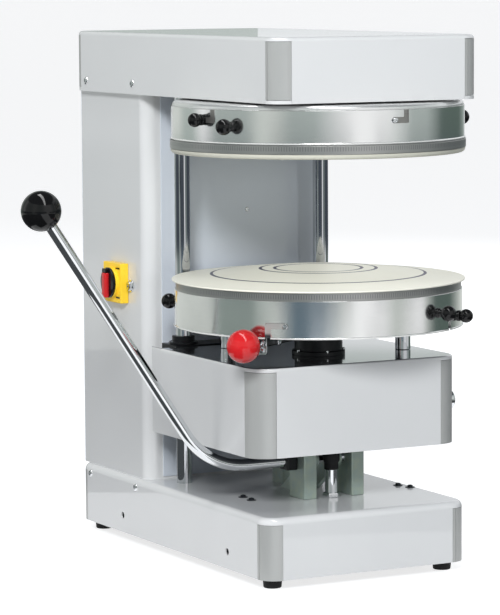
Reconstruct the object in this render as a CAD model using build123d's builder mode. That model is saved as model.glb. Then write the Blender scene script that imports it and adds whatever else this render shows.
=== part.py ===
import os
from math import asin, atan, cos, degrees, radians, sin, sqrt, tan

from build123d import *

os.makedirs("parts", exist_ok=True)

# Lengths in millimetres. X to the right, Y to the back, Z up, origin on the bench under the base centre.

# Sheet metal and clearances
sheet = 2.0
plate_stock = 6.0
fit_gap = 0.05
seat_gap = 0.2
run_gap = 0.3

# Base
foot_height = 15.0
foot_radius = 15.0
foot_flare = 1.5
foot_inset_x = 28.0
foot_inset_y = 33.0
base_width = 352.0
base_depth = 650.0
base_height = 94.0
corner_radius = 28.0
corner_wall = 3.0
corner_cap = 6.0
corner_relief = 8.0
top_edge_round = 5.0

# Column
column_width = 332.0
column_front = 92.0
column_round = 20.0
front_panel_inset = 8.0
front_panel_margin = 4.0

# Head
head_height = 97.0
head_reach = 187.0
head_rear_overhang = 7.0

# Guide bars
bar_x = 124.5
bar_y = 43.0
bar_radius = 12.5
bar_disc_gap = 9.1
socket_wall = 11.5
socket_height = 30.0
hole_gap = 1.0

# Carriage at its lowest place
lift_height = 180.0
carriage_width = 356.0
carriage_reach = 127.0
carriage_rear = 47.0
carriage_clear = 85.2
carriage_height = 135.3
carriage_round = 35.0
carriage_edge_round = 3.0
slide_block_depth = 50.0
slide_block_margin = 8.5
slide_block_lift = 11.8
slide_block_rise = 1.5
bush_wall = 4.5
collar_flange = 6.0
collar_flange_height = 4.0
collar_neck = 1.0
collar_neck_height = 9.0

# The two cream plates, and the disc that carries the upper one
plate_radius = 225.0
plate_flat_radius = 92.0
plate_fall = 14.4
plate_rim = 2.5
upper_rim = 7.8
upper_body_step = 20.0
upper_body_height = 15.7
backing_height = 4.3
dough_gap = 12.4

# Rollers let into the underside of the upper plate
roller_count = 4
roller_radius = 7.0
roller_margin_inner = 10.0
roller_margin_outer = 7.0
roller_proud = 5.0
roller_gap = 0.5
journal_radius = 2.5
journal_length = 4.0

# Drums
skirt_wall = 1.5
skirt_bead = 1.5
skirt_bead_height = 2.0
ring_wall = 3.0
ring_step = 2.0
upper_skirt_inset = 1.0
upper_skirt_drop = 10.4
upper_skirt_height = 49.6
upper_ring_height = 14.4
lower_skirt_inset = 4.0
lower_skirt_height = 56.5
lower_ring_height = 12.3
pan_wall = 3.0
pan_edge_round = 6.0
pan_depth = 34.0
upper_pan_drop = 3.0
lower_pan_rise = 47.5
lower_skirt_hang = 0.5
pin_radius = 4.0
pin_proud = 4.0
slot_gap = 0.5
upper_pin_drop = 15.6
lower_pin_rise = 19.5
upper_slot_turn = 5.3
lower_slot_turn = 7.0
upper_knob_pin_angle = 191.5
upper_plain_pin_angles = (271.0, 91.0, 11.5)
lower_knob_pin_angle = 311.0
lower_plain_pin_angles = (228.0, 48.0, 131.0)
pin_knob_radius = 10.5
pin_knob_reach = 16.0
upper_handle_angles = (206.0, 353.0)
lower_handle_angles = (295.0, 137.0)
upper_handle_drop = 24.1
lower_handle_rise = 29.5
handle_ball_radius = 12.0
handle_reach = 18.0
handle_stem_radius = 6.0
handle_stud_radius = 3.0

# Spindles and bearings
spindle_radius = 15.0
bearing_radius = 31.0
bearing_width = 16.0
bearing_inset = 2.0
spindle_housing_radius = 40.0
spindle_housing_drop = 33.0
spindle_flange_radius = 60.0
spindle_flange_height = 8.0
hub_flange_radius = 48.0
hub_flange_height = 8.0
hub_radius = 37.0
hub_foot_radius = 41.0
hub_foot_height = 7.0

# Upper drive
motor_setback = 113.0
motor_radius = 65.0
motor_length = 190.0
motor_shaft_radius = 9.5
motor_shaft_depth = 40.0
spindle_pulley_radius = 75.0
motor_pulley_radius = 37.5
pulley_width = 20.0
pulley_lift = 19.0
belt_width = 16.0
belt_thickness = 4.0

# Support posts between carriage and lower drum
post_radius = 12.0
right_post_reach = 142.8
right_post_angle = -6.0
rear_post_reach = 164.0
rear_post_angle = 120.8

# Red locking lever round the lower hub
lock_ball_radius = 25.0
lock_ball_gap = 2.5
lock_angle = 214.6
lock_collar_gap = 1.0
lock_rod_radius = 5.0
lock_bar_width = 18.0
lock_bar_height = 14.0
lock_bar_reach = 188.0
lock_collar_wall = 9.0
lock_collar_height = 16.0

# Lift lever, its crank and the yoke under the carriage
lift_x = 11.25
lift_blocks_apart = 83.5
block_thickness = 22.0
block_depth = 48.0
block_reach = 33.5
block_gap = 8.2
block_chamfer = 1.5
shaft_y = -166.0
shaft_drop = 28.2
shaft_radius = 7.0
shaft_collar_radius = 12.0
shaft_collar_width = 9.0
crank_radius = 150.0
crank_arm_width = 24.0
crank_arm_thickness = 8.0
crank_arms_apart = 40.0
crank_boss_radius = 15.0
crank_pin_radius = 5.0
crank_roller_radius = 10.0
crank_roller_overhang = 2.0
yoke_slack = 3.2
yoke_rim = 13.0
yoke_thickness = 16.0
yoke_stem_depth = 34.0
yoke_foot_width = 60.0
opening_margin = 5.0
stop_post_radius = 10.0
stop_post_reach = 24.0
stop_buffer_radius = 13.0
stop_buffer_height = 42.0
stop_buffer_round = 2.0
lever_hub_size = 26.0
lever_hub_length = 18.0
lever_hub_round = 2.0
lever_socket = 8.0
lever_rod_radius = 9.0
lever_bend_radius = 120.0
lever_ball_x = -461.6
lever_ball_rise = 402.0
lever_lean = 34.0
lever_ball_radius = 30.0
lever_ball_depth = 26.0

# Isolator switch on the left side of the column
switch_y = 186.0
switch_z = 419.0
switch_size = 64.0
switch_plate_round = 4.0
switch_plate_thickness = 14.0
switch_body_radius = 25.5
switch_body_height = 5.0
switch_stem_radius = 6.0
switch_disc_radius = 24.5
switch_disc_height = 4.0
switch_handle_length = 48.0
switch_handle_width = 15.0
switch_handle_height = 11.0
switch_handle_round = 5.0
switch_handle_edge = 2.0

# Knob on the right side of the carriage
side_knob_setback = 68.0
side_knob_rise = 57.8
side_cone_radius = 12.0
side_cone_length = 8.0
side_neck_radius = 6.5
side_knob_radius = 15.0
side_knob_length = 16.0
side_knob_chamfer = 2.0
side_stem_radius = 4.0
side_stem_depth = 8.0

# Cable gland low on the rear panel
gland_x = -110.0
gland_rise = 41.0
gland_radius = 11.0
gland_nut_height = 8.0
gland_sleeve_radius = 8.5
gland_reach = 20.0
gland_round = 2.0

# Disc sizes and places that follow
upper_skirt_radius = plate_radius - upper_skirt_inset
lower_skirt_radius = plate_radius - lower_skirt_inset
upper_pan_radius = upper_skirt_radius - skirt_wall - run_gap
lower_pan_radius = lower_skirt_radius - skirt_wall - run_gap
upper_body_radius = plate_radius - upper_body_step
roller_inner = plate_flat_radius + roller_margin_inner
roller_outer = upper_body_radius - roller_margin_outer
roller_length = roller_outer - roller_inner
bar_from_disc = upper_skirt_radius + ring_step + bar_disc_gap + bar_radius
disc_y = bar_y - sqrt(bar_from_disc**2 - bar_x**2)
bar_places = ((-bar_x, bar_y), (bar_x, bar_y))
socket_radius = bar_radius + socket_wall
bush_radius = bar_radius + bush_wall
collar_flange_radius = bush_radius + collar_flange
collar_neck_radius = bush_radius + collar_neck

# Base and carriage
foot_taper = degrees(atan(foot_flare / foot_height))
base_bottom = foot_height
base_top = base_bottom + base_height
carriage_bottom = base_top + carriage_clear
carriage_top = carriage_bottom + carriage_height
carriage_front = disc_y - carriage_reach
slide_block_front = bar_y - slide_block_depth / 2
slide_block_rear = bar_y + slide_block_depth / 2
slide_block_width = 2 * (bar_x + bush_radius + slide_block_margin)
slide_block_bottom = carriage_bottom + slide_block_lift
slide_block_top = carriage_top + slide_block_rise
bush_length = slide_block_top - slide_block_bottom + collar_flange_height + collar_neck_height
side_knob_y = carriage_front + side_knob_setback
side_knob_z = carriage_bottom + side_knob_rise
side_cone_end = carriage_width / 2 + run_gap + side_cone_length
side_knob_end = side_cone_end + side_knob_length

# Lower drum and plate, standing on the carriage
lower_pan_bottom = carriage_top + lower_pan_rise
lower_skirt_bottom = lower_pan_bottom - lower_skirt_hang
lower_skirt_top = lower_skirt_bottom + lower_skirt_height
lower_plate_bottom = lower_skirt_top + lower_ring_height + run_gap
lower_pin_z = lower_skirt_bottom + lower_pin_rise
lower_handle_z = lower_skirt_bottom + lower_handle_rise
lower_pin_angles = (lower_knob_pin_angle, *lower_plain_pin_angles)
lock_z = lower_pan_bottom - lock_collar_gap - lock_collar_height / 2
lock_collar_radius = hub_radius + lock_collar_wall
lock_ball_reach = lower_skirt_radius + skirt_bead + lock_ball_gap + lock_ball_radius

# Upper drum and plate, one travel and the dough above the lower plate, and the head that holds them
upper_plate_bottom = lower_plate_bottom + plate_rim + dough_gap + lift_height
upper_body_top = upper_plate_bottom + upper_rim + upper_body_height
upper_plate_top = upper_body_top + backing_height
pocket_height = upper_rim + upper_body_height + plate_fall
upper_ring_bottom = upper_plate_bottom + upper_rim + run_gap
upper_skirt_bottom = upper_ring_bottom + upper_ring_height
upper_skirt_top = upper_skirt_bottom + upper_skirt_height
head_bottom = upper_skirt_top + upper_skirt_drop
head_floor_top = head_bottom + plate_stock
upper_pan_top = head_bottom - upper_pan_drop
upper_pin_z = upper_skirt_top - upper_pin_drop
upper_handle_z = upper_skirt_top - upper_handle_drop
upper_pin_angles = (upper_knob_pin_angle, *upper_plain_pin_angles)
slot_half_width = pin_radius + slot_gap
upper_slot_half = upper_skirt_radius * sin(radians(upper_slot_turn / 2))
lower_slot_half = lower_skirt_radius * sin(radians(lower_slot_turn / 2))
slot_cut = 4 * skirt_wall
spindle_housing_bottom = head_bottom - spindle_housing_drop
spindle_housing_top = head_floor_top + spindle_flange_height
pulley_bottom = head_floor_top + pulley_lift
spindle_top = pulley_bottom + pulley_width

# Head and column
head_front = disc_y - head_reach
head_rear = base_depth / 2 + head_rear_overhang
head_depth = head_rear - head_front
head_mid_y = (head_rear + head_front) / 2
column_rear = base_depth / 2
column_height = head_bottom - base_top
column_depth = column_rear - column_front
column_mid_y = (column_rear + column_front) / 2
motor_y = column_rear - motor_setback
front_panel_width = column_width - 2 * (column_round + front_panel_inset)

# Lift
shaft_rise = carriage_clear - shaft_drop
shaft_z = base_top + shaft_rise
block_height = carriage_clear - block_gap
block_mid_y = shaft_y - block_reach + block_depth / 2
block_left_face = lift_x - lift_blocks_apart / 2 - block_thickness / 2
block_right_face = lift_x + lift_blocks_apart / 2 + block_thickness / 2
stop_post_y = shaft_y - stop_post_reach
lever_hub_right = block_left_face - run_gap
lever_hub_left = lever_hub_right - lever_hub_length
lever_ball_z = shaft_z + lever_ball_rise
lever_corner_x = lever_ball_x + lever_ball_rise * tan(radians(lever_lean))
lever_down = (sin(radians(lever_lean)), 0, -cos(radians(lever_lean)))
lever_end_gap = lever_ball_radius - lever_ball_depth
lever_rod_end = (
    lever_ball_x + lever_end_gap * lever_down[0], shaft_y, lever_ball_z + lever_end_gap * lever_down[2]
)
crank_swing = asin(lift_height / 2 / crank_radius)
crank_pin_y = shaft_y + crank_radius * cos(crank_swing)
crank_pin_z = shaft_z - crank_radius * sin(crank_swing)
crank_left = lift_x - (crank_arms_apart + crank_arm_thickness) / 2
yoke_slot_height = 2 * (crank_roller_radius + yoke_slack)
yoke_front = crank_pin_y - yoke_slot_height / 2 - yoke_rim
yoke_rear = shaft_y + crank_radius + yoke_slot_height / 2 + yoke_rim
yoke_mid_y = (yoke_front + yoke_rear) / 2
yoke_length = yoke_rear - yoke_front
opening_width = crank_arms_apart + crank_arm_thickness + 2 * opening_margin
opening_front = shaft_y + shaft_rise / tan(crank_swing) - crank_arm_width - opening_margin
opening_rear = yoke_rear + opening_margin
stop_post_top = carriage_bottom - run_gap - stop_buffer_height

# Switch and gland
switch_body_left = -column_width / 2 - switch_plate_thickness - switch_body_height
gland_z = base_top + gland_rise


def around_disc(radius, angle):
    return (radius * cos(radians(angle)), disc_y + radius * sin(radians(angle)))


def outward_plane(radius, angle, z):
    # Faces away from the disc axis, with its own X running round the drum and its Y up.
    turn = radians(angle)
    return Plane(
        origin=(*around_disc(radius, angle), z),
        x_dir=(-sin(turn), cos(turn), 0),
        z_dir=(cos(turn), sin(turn), 0),
    )


def outward_planes(radius, angles, z):
    return [outward_plane(radius, angle, z) for angle in angles]


def roller_plane(angle):
    # Lies on the middle of a roller, its Z out along the roller and its X square to the plate underside.
    slope = atan(plate_fall / (plate_radius - plate_flat_radius))
    middle = (roller_inner + roller_outer) / 2
    depth = (roller_radius - roller_proud) / cos(slope)
    z = upper_plate_bottom + (plate_radius - middle) * tan(slope) + depth
    turn = radians(angle)
    return Plane(
        origin=(*around_disc(middle, angle), z),
        x_dir=(sin(slope) * cos(turn), sin(slope) * sin(turn), cos(slope)),
        z_dir=(cos(slope) * cos(turn), cos(slope) * sin(turn), -sin(slope)),
    )


roller_planes = [roller_plane((step + 0.5) * 360 / roller_count) for step in range(roller_count)]

# Base: folded housing, bottom plate, feet, and the corner profiles of base and head

with BuildPart() as base_housing:
    with BuildSketch(Plane.XY.offset(base_bottom)):
        RectangleRounded(base_width, base_depth, corner_radius)
    extrude(amount=base_height)
    fillet(base_housing.faces().sort_by(Axis.Z)[-1].edges(), top_edge_round)
    with BuildSketch(Plane.XY.offset(base_bottom)):
        RectangleRounded(base_width - 2 * sheet, base_depth - 2 * sheet, corner_radius - sheet)
    extrude(amount=base_height - sheet, mode=Mode.SUBTRACT)
    with BuildSketch(Plane.XY.offset(base_bottom)):
        with GridLocations(base_width - corner_radius, base_depth - corner_radius, 2, 2):
            Rectangle(corner_radius, corner_radius)
    extrude(amount=base_height - corner_cap, mode=Mode.SUBTRACT)
    with BuildSketch(Plane.XY.offset(base_top)):
        with Locations(*bar_places):
            Circle(bar_radius + hole_gap)
        with Locations((lift_x, (opening_front + opening_rear) / 2)):
            Rectangle(opening_width, opening_rear - opening_front)
    extrude(amount=-2 * sheet, mode=Mode.SUBTRACT)
base_housing.part.label = "base_housing"
export_step(base_housing.part, "parts/base_housing.step")

with BuildPart() as corner_profiles:
    with BuildSketch(Plane.XY.offset(base_bottom)):
        RectangleRounded(base_width, base_depth, corner_radius)
        RectangleRounded(
            base_width - 2 * corner_wall, base_depth - 2 * corner_wall,
            corner_radius - corner_wall, mode=Mode.SUBTRACT,
        )
        Rectangle(base_width - 2 * corner_radius, base_depth, mode=Mode.SUBTRACT)
        Rectangle(base_width, base_depth - 2 * corner_radius, mode=Mode.SUBTRACT)
    extrude(amount=base_height - corner_cap)
    with BuildSketch(Plane.XY.offset(head_bottom)):
        with Locations((0, head_mid_y)):
            RectangleRounded(base_width, head_depth, corner_radius)
            RectangleRounded(
                base_width - 2 * corner_wall, head_depth - 2 * corner_wall,
                corner_radius - corner_wall, mode=Mode.SUBTRACT,
            )
            Rectangle(base_width - 2 * corner_radius, head_depth, mode=Mode.SUBTRACT)
            Rectangle(base_width, head_depth - 2 * corner_radius, mode=Mode.SUBTRACT)
    extrude(amount=head_height - corner_cap)
corner_profiles.part.label = "corner_profiles"
export_step(corner_profiles.part, "parts/corner_profiles.step")

with BuildPart() as base_plate:
    with BuildSketch(Plane.XY.offset(base_bottom)):
        RectangleRounded(
            base_width - 2 * sheet, base_depth - 2 * sheet, corner_radius + corner_relief
        )
    extrude(amount=plate_stock)
base_plate.part.label = "base_plate"
export_step(base_plate.part, "parts/base_plate.step")

with BuildPart() as rubber_feet:
    with BuildSketch(Plane.XY.offset(foot_height)):
        with GridLocations(base_width - 2 * foot_inset_x, base_depth - 2 * foot_inset_y, 2, 2):
            Circle(foot_radius)
    extrude(amount=-foot_height, taper=foot_taper)
rubber_feet.part.label = "rubber_feet"
export_step(rubber_feet.part, "parts/rubber_feet.step")

# Column: folded cover, front and rear panels, gland

with BuildPart() as column_cover:
    with BuildSketch(Plane.XY.offset(base_top)) as column_outline:
        with Locations((0, (column_front + column_rear - sheet) / 2)):
            Rectangle(column_width, column_depth - sheet)
        fillet(column_outline.vertices().group_by(Axis.Y)[0], column_round)
    extrude(amount=column_height)
    with BuildSketch(Plane.XY.offset(base_top)) as column_inside:
        with Locations((0, column_mid_y)):
            Rectangle(column_width - 2 * sheet, column_depth - 2 * sheet)
        fillet(column_inside.vertices().group_by(Axis.Y)[0], column_round - sheet)
    extrude(amount=column_height, mode=Mode.SUBTRACT)
column_cover.part.label = "column_cover"
export_step(column_cover.part, "parts/column_cover.step")

with BuildPart() as column_panels:
    with BuildSketch(Plane.XZ.offset(-column_front)):
        with Locations((0, (base_top + head_bottom) / 2)):
            Rectangle(front_panel_width, column_height - 2 * front_panel_margin)
    extrude(amount=sheet)
    with BuildSketch(Plane.XZ.offset(-column_rear)):
        with Locations((0, (base_top + head_bottom) / 2)):
            Rectangle(column_width, column_height)
    extrude(amount=sheet)
column_panels.part.label = "column_panels"
export_step(column_panels.part, "parts/column_panels.step")

with BuildPart() as cable_gland:
    with BuildSketch(Plane.XZ.offset(-column_rear)):
        with Locations((gland_x, gland_z)):
            RegularPolygon(gland_radius, 6)
    extrude(amount=-gland_nut_height)
    with BuildSketch(Plane.XZ.offset(-column_rear - gland_nut_height)):
        with Locations((gland_x, gland_z)):
            Circle(gland_sleeve_radius)
    extrude(amount=-(gland_reach - gland_nut_height))
    fillet(cable_gland.edges().sort_by(Axis.Y)[-1], gland_round)
cable_gland.part.label = "cable_gland"
export_step(cable_gland.part, "parts/cable_gland.step")

# Head: folded housing and floor plate

with BuildPart() as head_housing:
    with BuildSketch(Plane.XY.offset(head_bottom)):
        with Locations((0, head_mid_y)):
            RectangleRounded(base_width, head_depth, corner_radius)
    extrude(amount=head_height)
    fillet(head_housing.faces().sort_by(Axis.Z)[-1].edges(), top_edge_round)
    with BuildSketch(Plane.XY.offset(head_bottom)):
        with Locations((0, head_mid_y)):
            RectangleRounded(base_width - 2 * sheet, head_depth - 2 * sheet, corner_radius - sheet)
    extrude(amount=head_height - sheet, mode=Mode.SUBTRACT)
    with BuildSketch(Plane.XY.offset(head_bottom)):
        with Locations((0, head_mid_y)):
            with GridLocations(base_width - corner_radius, head_depth - corner_radius, 2, 2):
                Rectangle(corner_radius, corner_radius)
    extrude(amount=head_height - corner_cap, mode=Mode.SUBTRACT)
head_housing.part.label = "head_housing"
export_step(head_housing.part, "parts/head_housing.step")

with BuildPart() as head_floor:
    with BuildSketch(Plane.XY.offset(head_bottom)):
        with Locations((0, head_mid_y)):
            RectangleRounded(
                base_width - 2 * sheet, head_depth - 2 * sheet, corner_radius + corner_relief
            )
        with Locations(*bar_places):
            Circle(bar_radius + seat_gap, mode=Mode.SUBTRACT)
        with Locations((0, disc_y)):
            Circle(spindle_housing_radius + seat_gap, mode=Mode.SUBTRACT)
        with Locations((0, motor_y)):
            Circle(motor_shaft_radius + hole_gap, mode=Mode.SUBTRACT)
    extrude(amount=plate_stock)
head_floor.part.label = "head_floor"
export_step(head_floor.part, "parts/head_floor.step")

# Guide bars and the sockets that hold them

with BuildPart() as guide_bars:
    with BuildSketch(Plane.XY.offset(base_bottom + plate_stock)):
        with Locations(*bar_places):
            Circle(bar_radius)
    extrude(amount=head_floor_top + socket_height - base_bottom - plate_stock)
guide_bars.part.label = "guide_bars"
export_step(guide_bars.part, "parts/guide_bars.step")

with BuildPart() as bar_sockets:
    with BuildSketch(Plane.XY.offset(base_bottom + plate_stock), Plane.XY.offset(head_floor_top)):
        with Locations(*bar_places):
            Circle(socket_radius)
            Circle(bar_radius + fit_gap, mode=Mode.SUBTRACT)
    extrude(amount=socket_height)
bar_sockets.part.label = "bar_sockets"
export_step(bar_sockets.part, "parts/bar_sockets.step")

# Upper drive inside head and column

with BuildPart() as motor_body:
    with BuildSketch(Plane.XY.offset(head_bottom)):
        with Locations((0, motor_y)):
            Circle(motor_radius)
    extrude(amount=-motor_length)
    fillet(motor_body.faces().sort_by(Axis.Z)[0].edges(), top_edge_round)
    with BuildSketch(Plane.XY.offset(head_bottom)):
        with Locations((0, motor_y)):
            Circle(motor_shaft_radius + fit_gap)
    extrude(amount=-motor_shaft_depth, mode=Mode.SUBTRACT)
motor_body.part.label = "motor_body"
export_step(motor_body.part, "parts/motor_body.step")

with BuildPart() as motor_shaft:
    with BuildSketch(Plane.XY.offset(head_bottom - motor_shaft_depth + run_gap)):
        with Locations((0, motor_y)):
            Circle(motor_shaft_radius)
    extrude(amount=spindle_top - head_bottom + motor_shaft_depth - run_gap)
motor_shaft.part.label = "motor_shaft"
export_step(motor_shaft.part, "parts/motor_shaft.step")

with BuildPart() as motor_pulley:
    with BuildSketch(Plane.XY.offset(pulley_bottom)):
        with Locations((0, motor_y)):
            Circle(motor_pulley_radius)
            Circle(motor_shaft_radius + fit_gap, mode=Mode.SUBTRACT)
    extrude(amount=pulley_width)
motor_pulley.part.label = "motor_pulley"
export_step(motor_pulley.part, "parts/motor_pulley.step")

with BuildPart() as spindle_pulley:
    with BuildSketch(Plane.XY.offset(pulley_bottom)):
        with Locations((0, disc_y)):
            Circle(spindle_pulley_radius)
            Circle(spindle_radius + fit_gap, mode=Mode.SUBTRACT)
    extrude(amount=pulley_width)
spindle_pulley.part.label = "spindle_pulley"
export_step(spindle_pulley.part, "parts/spindle_pulley.step")

with BuildPart() as drive_belt:
    with BuildSketch(Plane.XY.offset(pulley_bottom + (pulley_width - belt_width) / 2)):
        with Locations((0, disc_y)):
            Circle(spindle_pulley_radius + run_gap + belt_thickness)
        with Locations((0, motor_y)):
            Circle(motor_pulley_radius + run_gap + belt_thickness)
        make_hull()
    extrude(amount=belt_width)
    with BuildSketch(Plane.XY.offset(pulley_bottom + (pulley_width - belt_width) / 2)):
        with Locations((0, disc_y)):
            Circle(spindle_pulley_radius + run_gap)
        with Locations((0, motor_y)):
            Circle(motor_pulley_radius + run_gap)
        make_hull()
    extrude(amount=belt_width, mode=Mode.SUBTRACT)
drive_belt.part.label = "drive_belt"
export_step(drive_belt.part, "parts/drive_belt.step")

with BuildPart() as spindle_housing:
    with BuildSketch(Plane.XY.offset(spindle_housing_bottom)):
        with Locations((0, disc_y)):
            Circle(spindle_housing_radius)
    extrude(amount=spindle_housing_top - spindle_housing_bottom)
    with BuildSketch(Plane.XY.offset(head_floor_top)):
        with Locations((0, disc_y)):
            Circle(spindle_flange_radius)
    extrude(amount=spindle_flange_height)
    with BuildSketch(Plane.XY.offset(spindle_housing_bottom)):
        with Locations((0, disc_y)):
            Circle(bearing_radius + fit_gap)
    extrude(amount=spindle_housing_top - spindle_housing_bottom, mode=Mode.SUBTRACT)
spindle_housing.part.label = "spindle_housing"
export_step(spindle_housing.part, "parts/spindle_housing.step")

with BuildPart() as spindle_bearings:
    with BuildSketch(
        Plane.XY.offset(spindle_housing_bottom + bearing_inset),
        Plane.XY.offset(spindle_housing_top - bearing_inset - bearing_width),
    ):
        with Locations((0, disc_y)):
            Circle(bearing_radius)
            Circle(spindle_radius + fit_gap, mode=Mode.SUBTRACT)
    extrude(amount=bearing_width)
spindle_bearings.part.label = "spindle_bearings"
export_step(spindle_bearings.part, "parts/spindle_bearings.step")

with BuildPart() as spindle:
    with BuildSketch(Plane.XY.offset(upper_plate_top)):
        with Locations((0, disc_y)):
            Circle(hub_flange_radius)
    extrude(amount=hub_flange_height)
    with BuildSketch(Plane.XY.offset(upper_plate_top)):
        with Locations((0, disc_y)):
            Circle(spindle_radius)
    extrude(amount=spindle_top - upper_plate_top)
spindle.part.label = "spindle"
export_step(spindle.part, "parts/spindle.step")

# Upper drum: pan with its pins, slotted skirt with the graduated ring, handles

with BuildPart() as upper_pan:
    with BuildSketch(Plane.XY.offset(upper_pan_top)):
        with Locations((0, disc_y)):
            Circle(upper_pan_radius)
    extrude(amount=-pan_depth)
    fillet(upper_pan.faces().sort_by(Axis.Z)[-1].edges(), pan_edge_round)
    with BuildSketch(Plane.XY.offset(upper_pan_top - pan_depth)):
        with Locations((0, disc_y)):
            Circle(upper_pan_radius - pan_wall)
    extrude(amount=pan_depth - pan_wall, mode=Mode.SUBTRACT)
    with BuildSketch(Plane.XY.offset(upper_pan_top)):
        with Locations((0, disc_y)):
            Circle(spindle_flange_radius)
    extrude(amount=head_bottom - upper_pan_top)
    with BuildSketch(Plane.XY.offset(head_bottom)):
        with Locations((0, disc_y)):
            Circle(spindle_housing_radius + seat_gap)
    extrude(amount=-pan_depth, mode=Mode.SUBTRACT)
    with BuildSketch(*outward_planes(upper_pan_radius - pan_wall, upper_pin_angles, upper_pin_z)):
        Circle(pin_radius + fit_gap)
    extrude(amount=2 * pan_wall, both=True, mode=Mode.SUBTRACT)
upper_pan.part.label = "upper_pan"
export_step(upper_pan.part, "parts/upper_pan.step")

with BuildPart() as upper_pins:
    with BuildSketch(*outward_planes(upper_pan_radius - 2 * pan_wall, upper_pin_angles, upper_pin_z)):
        Circle(pin_radius)
    extrude(amount=upper_skirt_radius + pin_proud - upper_pan_radius + 2 * pan_wall)
    with BuildSketch(outward_plane(upper_skirt_radius, upper_knob_pin_angle, upper_pin_z)):
        Circle(pin_radius)
    extrude(amount=pin_knob_reach)
    with Locations((*around_disc(upper_skirt_radius + pin_knob_reach, upper_knob_pin_angle), upper_pin_z)):
        Sphere(pin_knob_radius)
upper_pins.part.label = "upper_pins"
export_step(upper_pins.part, "parts/upper_pins.step")

with BuildPart() as upper_skirt:
    with BuildSketch(Plane.XY.offset(upper_skirt_bottom)):
        with Locations((0, disc_y)):
            Circle(upper_skirt_radius)
            Circle(upper_skirt_radius - skirt_wall, mode=Mode.SUBTRACT)
    extrude(amount=upper_skirt_top - upper_skirt_bottom)
    with BuildSketch(Plane.XY.offset(upper_skirt_bottom)):
        with Locations((0, disc_y)):
            Circle(upper_skirt_radius + ring_step)
            Circle(upper_skirt_radius - skirt_wall, mode=Mode.SUBTRACT)
    extrude(amount=-upper_ring_height)
    for angle in upper_pin_angles:
        mid_angle = angle + upper_slot_turn / 2
        with BuildSketch(outward_plane(upper_skirt_radius, mid_angle, upper_pin_z)):
            SlotCenterToCenter(2 * upper_slot_half, 2 * slot_half_width)
            with Locations((upper_slot_half, 0)):
                Rectangle(
                    2 * slot_half_width, upper_skirt_top - upper_pin_z + sheet,
                    align=(Align.CENTER, Align.MIN),
                )
        extrude(amount=slot_cut, both=True, mode=Mode.SUBTRACT)
    with BuildSketch(*outward_planes(upper_skirt_radius, upper_handle_angles, upper_handle_z)):
        Circle(handle_stud_radius + fit_gap)
    extrude(amount=slot_cut, both=True, mode=Mode.SUBTRACT)
upper_skirt.part.label = "upper_skirt"
export_step(upper_skirt.part, "parts/upper_skirt.step")

with BuildPart() as upper_handles:
    with BuildSketch(*outward_planes(upper_skirt_radius - skirt_wall, upper_handle_angles, upper_handle_z)):
        Circle(handle_stud_radius)
    extrude(amount=skirt_wall)
    with BuildSketch(*outward_planes(upper_skirt_radius, upper_handle_angles, upper_handle_z)):
        Circle(handle_stem_radius)
    extrude(amount=handle_reach)
    for angle in upper_handle_angles:
        with Locations((*around_disc(upper_skirt_radius + handle_reach, angle), upper_handle_z)):
            Sphere(handle_ball_radius)
upper_handles.part.label = "upper_handles"
export_step(upper_handles.part, "parts/upper_handles.step")

# Upper plate: a ring with open roller pockets, closed from above by the backing disc on the spindle

with BuildPart() as upper_plate:
    with BuildSketch(Plane.XZ.offset(-disc_y)):
        with BuildLine():
            Polyline(
                (plate_flat_radius, upper_plate_bottom + plate_fall),
                (plate_radius, upper_plate_bottom),
                (plate_radius, upper_plate_bottom + upper_rim),
                (upper_body_radius, upper_plate_bottom + upper_rim),
                (upper_body_radius, upper_body_top),
                (plate_flat_radius, upper_body_top),
                close=True,
            )
        make_face()
    revolve(axis=Axis((0, disc_y, 0), (0, 0, 1)))
    for plane in roller_planes:
        with BuildSketch(plane):
            Rectangle(
                pocket_height, 2 * (roller_radius + roller_gap), align=(Align.MIN, Align.CENTER)
            )
            Rectangle(2 * (roller_radius + roller_gap), 2 * (roller_radius + roller_gap))
        extrude(amount=roller_length / 2 + roller_gap, both=True, mode=Mode.SUBTRACT)
        with BuildSketch(plane):
            Circle(journal_radius + fit_gap)
            Rectangle(
                pocket_height, 2 * (journal_radius + fit_gap), align=(Align.MIN, Align.CENTER)
            )
        extrude(amount=roller_length / 2 + journal_length + roller_gap, both=True, mode=Mode.SUBTRACT)
upper_plate.part.label = "upper_plate"
export_step(upper_plate.part, "parts/upper_plate.step")

with BuildPart() as upper_backing:
    with BuildSketch(Plane.XY.offset(upper_body_top)):
        with Locations((0, disc_y)):
            Circle(upper_body_radius)
    extrude(amount=backing_height)
    with BuildSketch(Plane.XY.offset(upper_plate_bottom + plate_fall)):
        with Locations((0, disc_y)):
            Circle(plate_flat_radius - fit_gap)
    extrude(amount=upper_body_top - upper_plate_bottom - plate_fall)
upper_backing.part.label = "upper_backing"
export_step(upper_backing.part, "parts/upper_backing.step")

for number, plane in enumerate(roller_planes, start=1):
    with BuildPart() as roller:
        with BuildSketch(plane):
            Circle(roller_radius)
        extrude(amount=roller_length / 2, both=True)
        with BuildSketch(plane):
            Circle(journal_radius)
        extrude(amount=roller_length / 2 + journal_length, both=True)
    roller.part.label = f"roller_{number}"
    export_step(roller.part, f"parts/roller_{number}.step")

# Carriage: folded housing, corner profiles, floor, slide block and flanged bushes

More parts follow.
